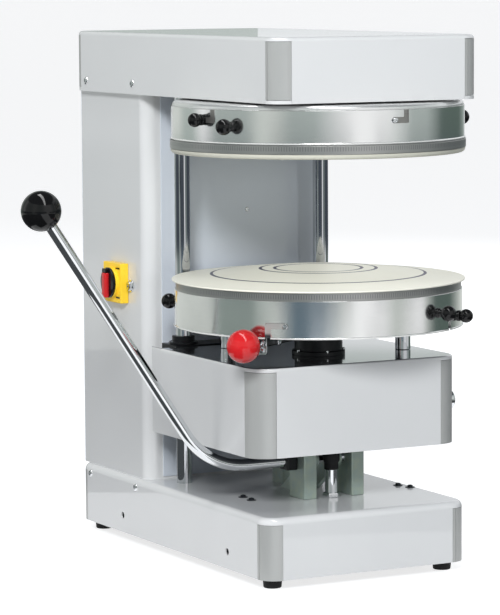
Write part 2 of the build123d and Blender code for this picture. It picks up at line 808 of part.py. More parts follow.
with BuildPart() as carriage_housing:
    with BuildSketch(Plane.XY.offset(carriage_bottom)) as carriage_outline:
        with Locations((0, (carriage_front + carriage_rear) / 2)):
            Rectangle(carriage_width, carriage_rear - carriage_front)
        fillet(carriage_outline.vertices().group_by(Axis.Y)[0], carriage_round)
    extrude(amount=carriage_height)
    fillet(carriage_housing.faces().sort_by(Axis.Z)[-1].edges(), carriage_edge_round)
    with BuildSketch(Plane.XY.offset(carriage_bottom)) as carriage_inside:
        with Locations((0, (carriage_front + slide_block_front) / 2)):
            Rectangle(carriage_width - 2 * sheet, slide_block_front - carriage_front - 2 * sheet)
        fillet(carriage_inside.vertices().group_by(Axis.Y)[0], carriage_round - sheet)
    extrude(amount=carriage_height - sheet, mode=Mode.SUBTRACT)
    with BuildSketch(Plane.XY.offset(carriage_bottom)):
        with Locations((0, slide_block_front)):
            Rectangle(
                carriage_width - 2 * sheet, slide_block_rear - slide_block_front,
                align=(Align.CENTER, Align.MIN),
            )
    extrude(amount=carriage_height, mode=Mode.SUBTRACT)
    with BuildSketch(Plane.XY.offset(carriage_bottom)):
        with Locations((0, carriage_front + carriage_round / 2)):
            with GridLocations(carriage_width - carriage_round, 0, 2, 1):
                Rectangle(carriage_round, carriage_round)
    extrude(amount=carriage_height - corner_cap, mode=Mode.SUBTRACT)
    with BuildSketch(Plane.YZ.offset(carriage_width / 2)):
        with Locations((side_knob_y, side_knob_z)):
            Circle(side_stem_radius + fit_gap)
    extrude(amount=-2 * sheet, mode=Mode.SUBTRACT)
carriage_housing.part.label = "carriage_housing"
export_step(carriage_housing.part, "parts/carriage_housing.step")

with BuildPart() as carriage_corner_profiles:
    with BuildSketch(Plane.XY.offset(carriage_bottom)):
        with Locations((0, carriage_front + carriage_round)):
            with GridLocations(carriage_width - 2 * carriage_round, 0, 2, 1):
                Circle(carriage_round)
                Circle(carriage_round - corner_wall, mode=Mode.SUBTRACT)
            Rectangle(carriage_width - 2 * carriage_round, 2 * carriage_round, mode=Mode.SUBTRACT)
            Rectangle(
                carriage_width, carriage_round, align=(Align.CENTER, Align.MIN), mode=Mode.SUBTRACT
            )
    extrude(amount=carriage_height - corner_cap)
carriage_corner_profiles.part.label = "carriage_corner_profiles"
export_step(carriage_corner_profiles.part, "parts/carriage_corner_profiles.step")

with BuildPart() as carriage_floor:
    with BuildSketch(Plane.XY.offset(carriage_bottom)) as floor_outline:
        with Locations((0, (carriage_front + slide_block_front) / 2)):
            Rectangle(carriage_width - 2 * sheet, slide_block_front - carriage_front - 2 * sheet)
        fillet(floor_outline.vertices().group_by(Axis.Y)[0], carriage_round + corner_relief)
    extrude(amount=plate_stock)
carriage_floor.part.label = "carriage_floor"
export_step(carriage_floor.part, "parts/carriage_floor.step")

with BuildPart() as slide_block:
    with BuildSketch(Plane.XY.offset(slide_block_bottom)):
        with Locations((0, (slide_block_front + slide_block_rear) / 2)):
            Rectangle(slide_block_width, slide_block_rear - slide_block_front)
        with Locations(*bar_places):
            Circle(bush_radius + fit_gap, mode=Mode.SUBTRACT)
    extrude(amount=slide_block_top - slide_block_bottom)
slide_block.part.label = "slide_block"
export_step(slide_block.part, "parts/slide_block.step")

with BuildPart() as guide_bushes:
    with BuildSketch(Plane.XY.offset(slide_block_bottom)):
        with Locations(*bar_places):
            Circle(bush_radius)
    extrude(amount=slide_block_top - slide_block_bottom)
    with BuildSketch(Plane.XY.offset(slide_block_top)):
        with Locations(*bar_places):
            Circle(collar_flange_radius)
    extrude(amount=collar_flange_height)
    with BuildSketch(Plane.XY.offset(slide_block_top + collar_flange_height)):
        with Locations(*bar_places):
            Circle(collar_neck_radius)
    extrude(amount=collar_neck_height)
    with BuildSketch(Plane.XY.offset(slide_block_bottom)):
        with Locations(*bar_places):
            Circle(bar_radius + fit_gap)
    extrude(amount=bush_length, mode=Mode.SUBTRACT)
guide_bushes.part.label = "guide_bushes"
export_step(guide_bushes.part, "parts/guide_bushes.step")

# Lower drum: hub, posts, pan with its pins, slotted skirt with the graduated ring, handles, plate

with BuildPart() as lower_hub:
    with BuildSketch(Plane.XY.offset(carriage_top)):
        with Locations((0, disc_y)):
            Circle(hub_foot_radius)
    extrude(amount=hub_foot_height)
    with BuildSketch(Plane.XY.offset(carriage_top)):
        with Locations((0, disc_y)):
            Circle(hub_radius)
    extrude(amount=lower_pan_bottom - carriage_top)
    with BuildSketch(Plane.XY.offset(carriage_top)):
        with Locations((0, disc_y)):
            Circle(bearing_radius + fit_gap)
    extrude(amount=lower_pan_bottom - carriage_top, mode=Mode.SUBTRACT)
lower_hub.part.label = "lower_hub"
export_step(lower_hub.part, "parts/lower_hub.step")

with BuildPart() as support_posts:
    with BuildSketch(Plane.XY.offset(carriage_top)):
        with Locations(
            around_disc(right_post_reach, right_post_angle),
            around_disc(rear_post_reach, rear_post_angle),
        ):
            Circle(post_radius)
    extrude(amount=lower_pan_bottom - carriage_top)
support_posts.part.label = "support_posts"
export_step(support_posts.part, "parts/support_posts.step")

with BuildPart() as lower_bearings:
    with BuildSketch(
        Plane.XY.offset(carriage_top + bearing_inset),
        Plane.XY.offset(lower_pan_bottom - bearing_inset - bearing_width),
    ):
        with Locations((0, disc_y)):
            Circle(bearing_radius)
            Circle(spindle_radius + fit_gap, mode=Mode.SUBTRACT)
    extrude(amount=bearing_width)
lower_bearings.part.label = "lower_bearings"
export_step(lower_bearings.part, "parts/lower_bearings.step")

with BuildPart() as lower_spindle:
    with BuildSketch(Plane.XY.offset(lower_plate_bottom)):
        with Locations((0, disc_y)):
            Circle(hub_flange_radius)
    extrude(amount=-hub_flange_height)
    with BuildSketch(Plane.XY.offset(lower_plate_bottom)):
        with Locations((0, disc_y)):
            Circle(spindle_radius)
    extrude(amount=carriage_top + bearing_inset - lower_plate_bottom)
lower_spindle.part.label = "lower_spindle"
export_step(lower_spindle.part, "parts/lower_spindle.step")

with BuildPart() as lower_pan:
    with BuildSketch(Plane.XY.offset(lower_pan_bottom)):
        with Locations((0, disc_y)):
            Circle(lower_pan_radius)
    extrude(amount=pan_depth)
    fillet(lower_pan.faces().sort_by(Axis.Z)[0].edges(), pan_edge_round)
    with BuildSketch(Plane.XY.offset(lower_pan_bottom + pan_wall)):
        with Locations((0, disc_y)):
            Circle(lower_pan_radius - pan_wall)
    extrude(amount=pan_depth, mode=Mode.SUBTRACT)
    with BuildSketch(Plane.XY.offset(lower_pan_bottom)):
        with Locations((0, disc_y)):
            Circle(spindle_radius + pan_wall)
    extrude(amount=pan_depth, mode=Mode.SUBTRACT)
    with BuildSketch(*outward_planes(lower_pan_radius - pan_wall, lower_pin_angles, lower_pin_z)):
        Circle(pin_radius + fit_gap)
    extrude(amount=2 * pan_wall, both=True, mode=Mode.SUBTRACT)
lower_pan.part.label = "lower_pan"
export_step(lower_pan.part, "parts/lower_pan.step")

with BuildPart() as lower_pins:
    with BuildSketch(*outward_planes(lower_pan_radius - 2 * pan_wall, lower_pin_angles, lower_pin_z)):
        Circle(pin_radius)
    extrude(amount=lower_skirt_radius + pin_proud - lower_pan_radius + 2 * pan_wall)
    with BuildSketch(outward_plane(lower_skirt_radius, lower_knob_pin_angle, lower_pin_z)):
        Circle(pin_radius)
    extrude(amount=pin_knob_reach)
    with Locations((*around_disc(lower_skirt_radius + pin_knob_reach, lower_knob_pin_angle), lower_pin_z)):
        Sphere(pin_knob_radius)
lower_pins.part.label = "lower_pins"
export_step(lower_pins.part, "parts/lower_pins.step")

with BuildPart() as lower_skirt:
    with BuildSketch(Plane.XY.offset(lower_skirt_bottom)):
        with Locations((0, disc_y)):
            Circle(lower_skirt_radius)
            Circle(lower_skirt_radius - skirt_wall, mode=Mode.SUBTRACT)
    extrude(amount=lower_skirt_top - lower_skirt_bottom)
    with BuildSketch(Plane.XY.offset(lower_skirt_bottom)):
        with Locations((0, disc_y)):
            Circle(lower_skirt_radius + skirt_bead)
            Circle(lower_skirt_radius - skirt_wall, mode=Mode.SUBTRACT)
    extrude(amount=skirt_bead_height)
    with BuildSketch(Plane.XY.offset(lower_skirt_top)):
        with Locations((0, disc_y)):
            Circle(lower_skirt_radius)
            Circle(lower_skirt_radius - ring_step - ring_wall, mode=Mode.SUBTRACT)
    extrude(amount=-skirt_wall)
    with BuildSketch(Plane.XY.offset(lower_skirt_top)):
        with Locations((0, disc_y)):
            Circle(lower_skirt_radius - ring_step)
            Circle(lower_skirt_radius - ring_step - ring_wall, mode=Mode.SUBTRACT)
    extrude(amount=lower_ring_height)
    for angle in lower_pin_angles:
        mid_angle = angle - lower_slot_turn / 2
        with BuildSketch(outward_plane(lower_skirt_radius, mid_angle, lower_pin_z)):
            SlotCenterToCenter(2 * lower_slot_half, 2 * slot_half_width)
            with Locations((-lower_slot_half, 0)):
                Rectangle(
                    2 * slot_half_width, lower_pin_z - lower_skirt_bottom + sheet,
                    align=(Align.CENTER, Align.MAX),
                )
        extrude(amount=slot_cut, both=True, mode=Mode.SUBTRACT)
    with BuildSketch(*outward_planes(lower_skirt_radius, lower_handle_angles, lower_handle_z)):
        Circle(handle_stud_radius + fit_gap)
    extrude(amount=slot_cut, both=True, mode=Mode.SUBTRACT)
lower_skirt.part.label = "lower_skirt"
export_step(lower_skirt.part, "parts/lower_skirt.step")

with BuildPart() as lower_handles:
    with BuildSketch(*outward_planes(lower_skirt_radius - skirt_wall, lower_handle_angles, lower_handle_z)):
        Circle(handle_stud_radius)
    extrude(amount=skirt_wall)
    with BuildSketch(*outward_planes(lower_skirt_radius, lower_handle_angles, lower_handle_z)):
        Circle(handle_stem_radius)
    extrude(amount=handle_reach)
    for angle in lower_handle_angles:
        with Locations((*around_disc(lower_skirt_radius + handle_reach, angle), lower_handle_z)):
            Sphere(handle_ball_radius)
lower_handles.part.label = "lower_handles"
export_step(lower_handles.part, "parts/lower_handles.step")

with BuildPart() as lower_plate:
    with BuildSketch(Plane.XZ.offset(-disc_y)):
        with BuildLine():
            Polyline(
                (0, lower_plate_bottom),
                (plate_radius, lower_plate_bottom),
                (plate_radius, lower_plate_bottom + plate_rim),
                (plate_flat_radius, lower_plate_bottom + plate_rim + plate_fall),
                (0, lower_plate_bottom + plate_rim + plate_fall),
                close=True,
            )
        make_face()
    revolve(axis=Axis((0, disc_y, 0), (0, 0, 1)))
lower_plate.part.label = "lower_plate"
export_step(lower_plate.part, "parts/lower_plate.step")

# Red locking lever on the lower hub

with BuildPart() as lock_arm:
    with BuildSketch(Plane.XY.offset(lock_z - lock_collar_height / 2)):
        with Locations((0, disc_y)):
            Circle(lock_collar_radius)
    extrude(amount=lock_collar_height)
    with BuildSketch(outward_plane(0, lock_angle, lock_z)):
        Rectangle(lock_bar_width, lock_bar_height)
    extrude(amount=lock_bar_reach)
    with BuildSketch(outward_plane(0, lock_angle, lock_z)):
        Circle(lock_rod_radius)
    extrude(amount=lock_ball_reach)
    with BuildSketch(Plane.XY.offset(lock_z - lock_collar_height / 2)):
        with Locations((0, disc_y)):
            Circle(hub_radius + run_gap)
    extrude(amount=lock_collar_height, mode=Mode.SUBTRACT)
lock_arm.part.label = "lock_arm"
export_step(lock_arm.part, "parts/lock_arm.step")

with BuildPart() as lock_ball:
    with Locations((*around_disc(lock_ball_reach, lock_angle), lock_z)):
        Sphere(lock_ball_radius)
    with BuildSketch(outward_plane(lock_ball_reach, lock_angle, lock_z)):
        Circle(lock_rod_radius + fit_gap)
    extrude(amount=-2 * lock_ball_radius, mode=Mode.SUBTRACT)
lock_ball.part.label = "lock_ball"
export_step(lock_ball.part, "parts/lock_ball.step")

# Lift: bearing blocks, stop post, lever shaft with crank, yoke under the carriage

with BuildPart() as lift_blocks:
    with BuildSketch(Plane.XY.offset(base_top)):
        with Locations((lift_x, block_mid_y)):
            with GridLocations(lift_blocks_apart, 0, 2, 1):
                Rectangle(block_thickness, block_depth)
    extrude(amount=block_height)
    with BuildSketch(Plane.YZ.offset(block_left_face)):
        with Locations((shaft_y, shaft_z)):
            Circle(shaft_radius + fit_gap)
    extrude(amount=block_right_face - block_left_face, mode=Mode.SUBTRACT)
    chamfer(lift_blocks.faces().group_by(Axis.Z)[-1].edges(), block_chamfer)
lift_blocks.part.label = "lift_blocks"
export_step(lift_blocks.part, "parts/lift_blocks.step")

with BuildPart() as stop_post:
    with BuildSketch(Plane.XY.offset(base_top)):
        with Locations((lift_x, stop_post_y)):
            Circle(stop_post_radius)
    extrude(amount=stop_post_top - base_top)
stop_post.part.label = "stop_post"
export_step(stop_post.part, "parts/stop_post.step")

with BuildPart() as stop_buffer:
    with BuildSketch(Plane.XY.offset(stop_post_top)):
        with Locations((lift_x, stop_post_y)):
            Circle(stop_buffer_radius)
    extrude(amount=stop_buffer_height)
    fillet(stop_buffer.faces().sort_by(Axis.Z)[-1].edges(), stop_buffer_round)
stop_buffer.part.label = "stop_buffer"
export_step(stop_buffer.part, "parts/stop_buffer.step")

with BuildPart() as lever_shaft:
    with BuildSketch(Plane.YZ.offset(lever_hub_right - lever_socket)):
        with Locations((shaft_y, shaft_z)):
            Circle(shaft_radius)
    extrude(amount=block_right_face + run_gap + shaft_collar_width - lever_hub_right + lever_socket)
lever_shaft.part.label = "lever_shaft"
export_step(lever_shaft.part, "parts/lever_shaft.step")

with BuildPart() as shaft_collar:
    with BuildSketch(Plane.YZ.offset(block_right_face + run_gap)):
        with Locations((shaft_y, shaft_z)):
            Circle(shaft_collar_radius)
            Circle(shaft_radius + fit_gap, mode=Mode.SUBTRACT)
    extrude(amount=shaft_collar_width)
shaft_collar.part.label = "shaft_collar"
export_step(shaft_collar.part, "parts/shaft_collar.step")

with BuildPart() as lever_hub:
    with BuildSketch(Plane.YZ.offset(lever_hub_right)):
        with Locations((shaft_y, shaft_z)):
            RectangleRounded(lever_hub_size, lever_hub_size, lever_hub_round)
    extrude(amount=-lever_hub_length)
    with BuildSketch(Plane.YZ.offset(lever_hub_right)):
        with Locations((shaft_y, shaft_z)):
            Circle(shaft_radius + fit_gap)
    extrude(amount=-lever_socket, mode=Mode.SUBTRACT)
    with BuildSketch(Plane.YZ.offset(lever_hub_left)):
        with Locations((shaft_y, shaft_z)):
            Circle(lever_rod_radius + fit_gap)
    extrude(amount=lever_socket, mode=Mode.SUBTRACT)
lever_hub.part.label = "lever_hub"
export_step(lever_hub.part, "parts/lever_hub.step")

with BuildPart() as lever_rod:
    with BuildLine() as lever_path:
        FilletPolyline(
            (lever_hub_left + lever_socket, shaft_y, shaft_z),
            (lever_corner_x, shaft_y, shaft_z),
            lever_rod_end,
            radius=lever_bend_radius,
        )
    with BuildSketch(Plane(lever_path.line @ 0, z_dir=lever_path.line % 0)):
        Circle(lever_rod_radius)
    sweep()
lever_rod.part.label = "lever_rod"
export_step(lever_rod.part, "parts/lever_rod.step")

with BuildPart() as lever_ball:
    with Locations(Location((lever_ball_x, shaft_y, lever_ball_z), (0, 0, 90))):
        Sphere(lever_ball_radius)
    with BuildSketch(Plane(lever_rod_end, x_dir=(0, 1, 0), z_dir=lever_down)):
        Circle(lever_rod_radius + fit_gap)
    extrude(amount=2 * lever_ball_radius, mode=Mode.SUBTRACT)
lever_ball.part.label = "lever_ball"
export_step(lever_ball.part, "parts/lever_ball.step")

with BuildPart() as crank:
    with BuildSketch(
        Plane.YZ.offset(crank_left), Plane.YZ.offset(crank_left + crank_arms_apart)
    ):
        with Locations(Location(
            ((shaft_y + crank_pin_y) / 2, (shaft_z + crank_pin_z) / 2, 0), (0, 0, -degrees(crank_swing))
        )):
            SlotCenterToCenter(crank_radius, crank_arm_width)
        with Locations((shaft_y, shaft_z)):
            Circle(crank_boss_radius)
            Circle(shaft_radius + fit_gap, mode=Mode.SUBTRACT)
    extrude(amount=crank_arm_thickness)
    with BuildSketch(Plane.YZ.offset(crank_left)):
        with Locations((crank_pin_y, crank_pin_z)):
            Circle(crank_pin_radius)
    extrude(amount=crank_arms_apart + crank_arm_thickness)
crank.part.label = "crank"
export_step(crank.part, "parts/crank.step")

with BuildPart() as crank_roller:
    with BuildSketch(Plane.YZ.offset(lift_x - yoke_thickness / 2 - crank_roller_overhang)):
        with Locations((crank_pin_y, crank_pin_z)):
            Circle(crank_roller_radius)
            Circle(crank_pin_radius + fit_gap, mode=Mode.SUBTRACT)
    extrude(amount=yoke_thickness + 2 * crank_roller_overhang)
crank_roller.part.label = "crank_roller"
export_step(crank_roller.part, "parts/crank_roller.step")

with BuildPart() as lift_yoke:
    with BuildSketch(Plane.YZ.offset(lift_x - yoke_thickness / 2)):
        with Locations((yoke_mid_y, crank_pin_z)):
            RectangleRounded(yoke_length, yoke_slot_height + 2 * yoke_rim, yoke_rim)
            Rectangle(yoke_stem_depth, carriage_bottom - crank_pin_z, align=(Align.CENTER, Align.MIN))
            SlotOverall(yoke_length - 2 * yoke_rim, yoke_slot_height, mode=Mode.SUBTRACT)
    extrude(amount=yoke_thickness)
    with BuildSketch(Plane.XY.offset(carriage_bottom)):
        with Locations((lift_x, yoke_mid_y)):
            Rectangle(yoke_foot_width, yoke_stem_depth)
    extrude(amount=-plate_stock)
lift_yoke.part.label = "lift_yoke"
export_step(lift_yoke.part, "parts/lift_yoke.step")

# Isolator switch

with BuildPart() as switch_plate:
    with BuildSketch(Plane.YZ.offset(-column_width / 2)):
        with Locations((switch_y, switch_z)):
            RectangleRounded(switch_size, switch_size, switch_plate_round)
    extrude(amount=-switch_plate_thickness)
switch_plate.part.label = "switch_plate"
export_step(switch_plate.part, "parts/switch_plate.step")

with BuildPart() as switch_body:
    with BuildSketch(Plane.YZ.offset(switch_body_left)):
        with Locations((switch_y, switch_z)):
            Circle(switch_body_radius)
            Circle(switch_stem_radius + fit_gap, mode=Mode.SUBTRACT)
    extrude(amount=switch_body_height)
switch_body.part.label = "switch_body"
export_step(switch_body.part, "parts/switch_body.step")

with BuildPart() as switch_handle:
    with BuildSketch(Plane.YZ.offset(switch_body_left - run_gap)):
        with Locations((switch_y, switch_z)):
            RectangleRounded(switch_handle_width, switch_handle_length, switch_handle_round)
    extrude(amount=-switch_handle_height)
    fillet(switch_handle.faces().sort_by(Axis.X)[0].edges(), switch_handle_edge)
    with BuildSketch(Plane.YZ.offset(switch_body_left - run_gap)):
        with Locations((switch_y, switch_z)):
            Circle(switch_disc_radius)
    extrude(amount=-switch_disc_height)
    with BuildSketch(Plane.YZ.offset(switch_body_left - run_gap)):
        with Locations((switch_y, switch_z)):
            Circle(switch_stem_radius)
    extrude(amount=switch_body_height)
switch_handle.part.label = "switch_handle"
export_step(switch_handle.part, "parts/switch_handle.step")

# Knob on the right side of the carriage

with BuildPart() as side_knob:
    with BuildSketch(Plane.XY.offset(side_knob_z)):
        with BuildLine():
            Polyline(
                (carriage_width / 2 - side_stem_depth, side_knob_y),
                (carriage_width / 2 - side_stem_depth, side_knob_y + side_stem_radius),
                (carriage_width / 2 + run_gap, side_knob_y + side_stem_radius),
                (carriage_width / 2 + run_gap, side_knob_y + side_cone_radius),
                (side_cone_end, side_knob_y + side_neck_radius),
                (side_cone_end, side_knob_y + side_knob_radius),
                (side_knob_end - side_knob_chamfer, side_knob_y + side_knob_radius),
                (side_knob_end, side_knob_y + side_knob_radius - side_knob_chamfer),
                (side_knob_end, side_knob_y),
                close=True,
            )
        make_face()
    revolve(axis=Axis((0, side_knob_y, side_knob_z), (1, 0, 0)))
side_knob.part.label = "side_knob"
export_step(side_knob.part, "parts/side_knob.step")
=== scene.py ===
import math

import bmesh
import bpy
from mathutils import Euler, Matrix, Vector


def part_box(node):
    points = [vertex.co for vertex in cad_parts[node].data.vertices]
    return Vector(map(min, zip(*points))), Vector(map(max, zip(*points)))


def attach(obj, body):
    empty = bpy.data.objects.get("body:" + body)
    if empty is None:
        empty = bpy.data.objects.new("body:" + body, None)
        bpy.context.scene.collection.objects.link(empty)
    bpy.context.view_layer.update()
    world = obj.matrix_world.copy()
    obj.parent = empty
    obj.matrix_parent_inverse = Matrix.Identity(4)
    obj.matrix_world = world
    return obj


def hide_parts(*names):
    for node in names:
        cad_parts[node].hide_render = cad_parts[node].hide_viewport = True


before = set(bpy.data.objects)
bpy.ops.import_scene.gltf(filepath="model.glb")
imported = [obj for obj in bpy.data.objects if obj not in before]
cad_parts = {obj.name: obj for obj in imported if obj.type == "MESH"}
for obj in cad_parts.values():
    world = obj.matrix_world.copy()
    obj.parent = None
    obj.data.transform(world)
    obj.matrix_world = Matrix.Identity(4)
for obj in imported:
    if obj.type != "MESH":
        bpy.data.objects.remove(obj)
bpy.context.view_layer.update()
mm = 0.001
joinGap = 0.002 * mm
left = (-1, 0, 0)
right = (1, 0, 0)
front = (0, -1, 0)
rear = (0, 1, 0)
upright = (0, 0, 1)
print("frame loaded,", len(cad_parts), "nodes")


def scaled(size):
    # millimetres to metres, all through a tuple
    return tuple(scaled(part) for part in size) if isinstance(size, tuple) else size * mm


def inMm(**sizes):
    # a dictionary of sizes that are given in millimetres
    return {name: scaled(size) for name, size in sizes.items()}


def tone(colour):
    # an 8-bit colour as the linear one that a shader takes
    shares = [part / 255 for part in colour]
    return (*[share / 12.92 if share < 0.04 else ((share + 0.055) / 1.055) ** 2.4 for share in shares], 1.0)


class Value:
    # a shader socket that Python arithmetic can be done on
    def __init__(self, owner, socket):
        self.owner = owner
        self.socket = socket

    def maths(self, operation, *others):
        return self.owner.add("ShaderNodeMath", {"operation": operation}, dict(enumerate((self, *others))))

    def __add__(self, other):
        return self.maths("ADD", other)

    def __mul__(self, other):
        return self.maths("MULTIPLY", other)

    def __sub__(self, other):
        return self.maths("SUBTRACT", other)

    def __truediv__(self, other):
        return self.maths("DIVIDE", other)

    def __rsub__(self, other):
        return self * -1 + other

    def __gt__(self, other):
        return self.maths("GREATER_THAN", other)

    def __lt__(self, other):
        return self.maths("LESS_THAN", other)


class Nodes:
    # a node tree, to which every node is added the same way
    def __init__(self, tree):
        self.tree = tree

    def add(self, kind, settings, sockets, output=0):
        node = self.tree.nodes.new(kind)
        for key, setting in settings.items():
            setattr(node, key, setting)
        for key, item in sockets.items():
            self.feed(node.inputs[key], item)
        return Value(self, node.outputs[output])

    def feed(self, socket, item):
        # a colour of three numbers is an 8-bit one
        if isinstance(item, Value):
            self.tree.links.new(item.socket, socket)
        elif socket.type == "RGBA" and len(item) == 3:
            socket.default_value = tone(item)
        else:
            socket.default_value = item

    def seen(self):
        # 1 for rays from the camera, from metal and from glass
        camera, glossy, through = [self.add("ShaderNodeLightPath", {}, {}, f"Is {ray} Ray")
                                   for ray in ("Camera", "Glossy", "Transmission")]
        return camera.maths("MAXIMUM", glossy).maths("MAXIMUM", through)


class Finish(Nodes):
    socketNames = {"coat": "Coat Weight", "coatRoughness": "Coat Roughness",
                   "specular": "Specular IOR Level"}

    def __init__(self, name, colour, **looks):
        self.material = bpy.data.materials.new(name)
        self.material.use_nodes = True
        super().__init__(self.material.node_tree)
        self.shader = self.tree.nodes["Principled BSDF"]
        self.drive("Base Color", colour)
        for look, amount in looks.items():
            self.drive(self.socketNames.get(look, look.capitalize()), amount)
        self.place = self.add("ShaderNodeTexCoord", {}, {}, "Object")

    def drive(self, socket, item):
        self.feed(self.shader.inputs[socket], item)

    def part(self, axis, vector=None):
        return self.add("ShaderNodeSeparateXYZ", {}, {"Vector": vector or self.place}, axis)

    def noise(self, scale, stretch=(1, 1, 1), detail=2.0):
        spot = self.add("ShaderNodeMapping", {}, {"Vector": self.place, "Scale": stretch})
        return self.add("ShaderNodeTexNoise", {}, {"Vector": spot, "Scale": scale, "Detail": detail})

    def rise(self, item, start, end):
        # from 0 at start to 1 at end
        return self.add("ShaderNodeMapRange", {}, {"Value": item, "From Min": start, "From Max": end})

    def mix(self, mask, first, second):
        return self.add("ShaderNodeMix", {"data_type": "RGBA"}, {0: mask, 6: first, 7: second}, 2)

    def bump(self, height, strength, depth):
        bumped = self.add("ShaderNodeBump", {}, {"Height": height, "Strength": strength, "Distance": depth})
        self.drive("Normal", bumped)

    def glow(self, colour):
        self.drive("Emission Color", colour)
        self.drive("Emission Strength", 1.0)

    def around(self, centre):
        # radius and angle (in turns) about an upright axis
        flat = self.add("ShaderNodeVectorMath", {"operation": "SUBTRACT"}, {0: self.place, 1: (*centre, 0)})
        across = self.part("X", flat)
        along = self.part("Y", flat)
        radius = (across * across + along * along).maths("SQRT")
        return radius, along.maths("ARCTAN2", across) / math.tau


def carve(piece, cutterMesh):
    bmesh.ops.recalc_face_normals(cutterMesh, faces=cutterMesh.faces)
    cutter = bpy.data.objects.new("cutter", bpy.data.meshes.new("cutter"))
    cutterMesh.to_mesh(cutter.data)
    cutterMesh.free()
    bpy.context.scene.collection.objects.link(cutter)
    cut = piece.modifiers.new("cut", "BOOLEAN")
    cut.object = cutter
    cut.operation = "DIFFERENCE"
    cut.solver = "EXACT"
    carved = piece.evaluated_get(bpy.context.evaluated_depsgraph_get())
    whole = piece.data
    piece.data = bpy.data.meshes.new_from_object(carved)
    piece.modifiers.clear()
    bpy.data.meshes.remove(whole)
    bpy.data.objects.remove(cutter)


def addPiece(bm, name, finish, body, node=None, edge=0.0, smooth=35, cutter=None):
    # node is the CAD node that the piece stands for; edge is the width of its soft edges
    bmesh.ops.remove_doubles(bm, verts=bm.verts, dist=joinGap)
    bmesh.ops.recalc_face_normals(bm, faces=bm.faces)
    piece = bpy.data.objects.new(name, bpy.data.meshes.new(name))
    bm.to_mesh(piece.data)
    bm.free()
    bpy.context.scene.collection.objects.link(piece)
    if cutter:
        carve(piece, cutter)
    piece.data.materials.clear()
    piece.data.materials.append(finish.material)
    piece.data.shade_smooth()
    if edge:
        soften = piece.modifiers.new("edges", "BEVEL")
        soften.width = edge
        soften.segments = 3
        soften.limit_method = "ANGLE"
        soften.angle_limit = math.radians(smooth)
        soften.harden_normals = True
    else:
        piece.data.set_sharp_from_angle(angle=math.radians(smooth))
        flat = piece.modifiers.new("flatFaces", "WEIGHTED_NORMAL")
        flat.keep_sharp = True
    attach(piece, body)
    if node:
        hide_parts(node)


def up(height):
    return Vector((0, 0, height))


def outward(angle):
    return Vector((math.cos(math.radians(angle)), math.sin(math.radians(angle)), 0))


def sideOf(out):
    return Vector((-out.y, out.x, 0))


def vertsOf(geometry):
    return [item for item in geometry if isinstance(item, bmesh.types.BMVert)]


def oblong(start, end, low, high):
    # four corners in order; spun, they make a ring, or a rod where start is 0
    return (start, low), (end, low), (end, high), (start, high)


def roundCorners(bm, verts, rounds, bend):
    for vert, corner in zip(verts, rounds):
        if corner:
            bmesh.ops.bevel(bm, geom=[vert], offset=corner, segments=bend, profile=0.5, affect="VERTICES",
                            material=-1)


def turn(bm, outline, centre, axis=upright, rounds=(), steps=96, closed=False, bend=6):
    # outline points are (radius, distance along the axis), and rounds are for their corners
    axis = Vector(axis).normalized()
    side = axis.orthogonal().normalized()
    knownVerts = set(bm.verts)
    knownEdges = set(bm.edges)
    verts = [bm.verts.new(Vector(centre) + side * radius + axis * along) for radius, along in outline]
    for pair in zip(verts, verts[1:] + verts[:1] if closed else verts[1:]):
        bm.edges.new(pair)
    roundCorners(bm, verts, rounds, bend)
    wire = [vert for vert in bm.verts if vert not in knownVerts]
    wire += [edge for edge in bm.edges if edge not in knownEdges]
    bmesh.ops.spin(bm, geom=wire, cent=centre, axis=axis, angle=math.tau, steps=steps, use_merge=True)


def turned(*shape, **looks):
    bm = bmesh.new()
    turn(bm, *shape, **looks)
    return bm


def flatFace(bm, points, rounds, bend=8):
    known = set(bm.faces)
    verts = [bm.verts.new(point) for point in points]
    bm.faces.new(verts)
    roundCorners(bm, verts, rounds, bend)
    return (set(bm.faces) - known).pop()


def drawOut(bm, face, way):
    # extrudes a face into a block and gives back the far face
    grown = bmesh.ops.extrude_face_region(bm, geom=[face], use_keep_orig=True)["geom"]
    bmesh.ops.translate(bm, vec=way, verts=vertsOf(grown))
    return [item for item in grown if isinstance(item, bmesh.types.BMFace)][0]


def slab(bm, low, high, rounds=(), bend=8):
    # upright block; rounds are for the corners front left, front right, back right, back left
    points = [(x, y, low[2]) for x, y in oblong(low[0], high[0], low[1], high[1])]
    return drawOut(bm, flatFace(bm, points, rounds, bend), (0, 0, high[2] - low[2]))


def board(bm, start, side, half, low, high, way, rounds, bend=4):
    # block drawn out of an upright rectangle that reaches half to each side of start
    points = [start + side * across + up(height) for across, height in oblong(-half, half, low, high)]
    drawOut(bm, flatFace(bm, points, rounds, bend), way)


def ball(bm, centre, radius, segments=48):
    bmesh.ops.create_uvsphere(bm, u_segments=segments, v_segments=segments // 2, radius=radius,
                              matrix=Matrix.Translation(centre))


# shares of a screw's or nut's radius and height
screwShape = {"dome": ((0.96, 0.5), (0.75, 1), (0.42, 1), (0.38, 0.3), (0, 0.3)), "washer": 0.3,
              "rimRound": 0.1, "crownRound": 0.3, "nutRounds": (0, 0.15, 0.2)}


def domeScrew(bm, centre, axis, radius, height, washer=0.0):
    # button head with a socket, on a washer where one is given
    rim = max(radius, washer)
    foot = height * screwShape["washer"] if washer else 0.0
    dome = [(radius * across, foot + height * rise) for across, rise in screwShape["dome"]]
    rounds = (0, 0, height * screwShape["rimRound"], 0, 0, height * screwShape["crownRound"])
    outline = ((0, -height), (rim, -height), (rim, foot), (radius, foot), *dome)
    turn(bm, outline, centre, axis, rounds, steps=28, bend=3)


def hexNut(bm, centre, axis, radius, height):
    rounds = [height * share for share in screwShape["nutRounds"]]
    turn(bm, oblong(0, radius, 0, height), centre, axis, rounds, steps=6, bend=2)


def middle(node):
    low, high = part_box(node)
    return (low + high) / 2


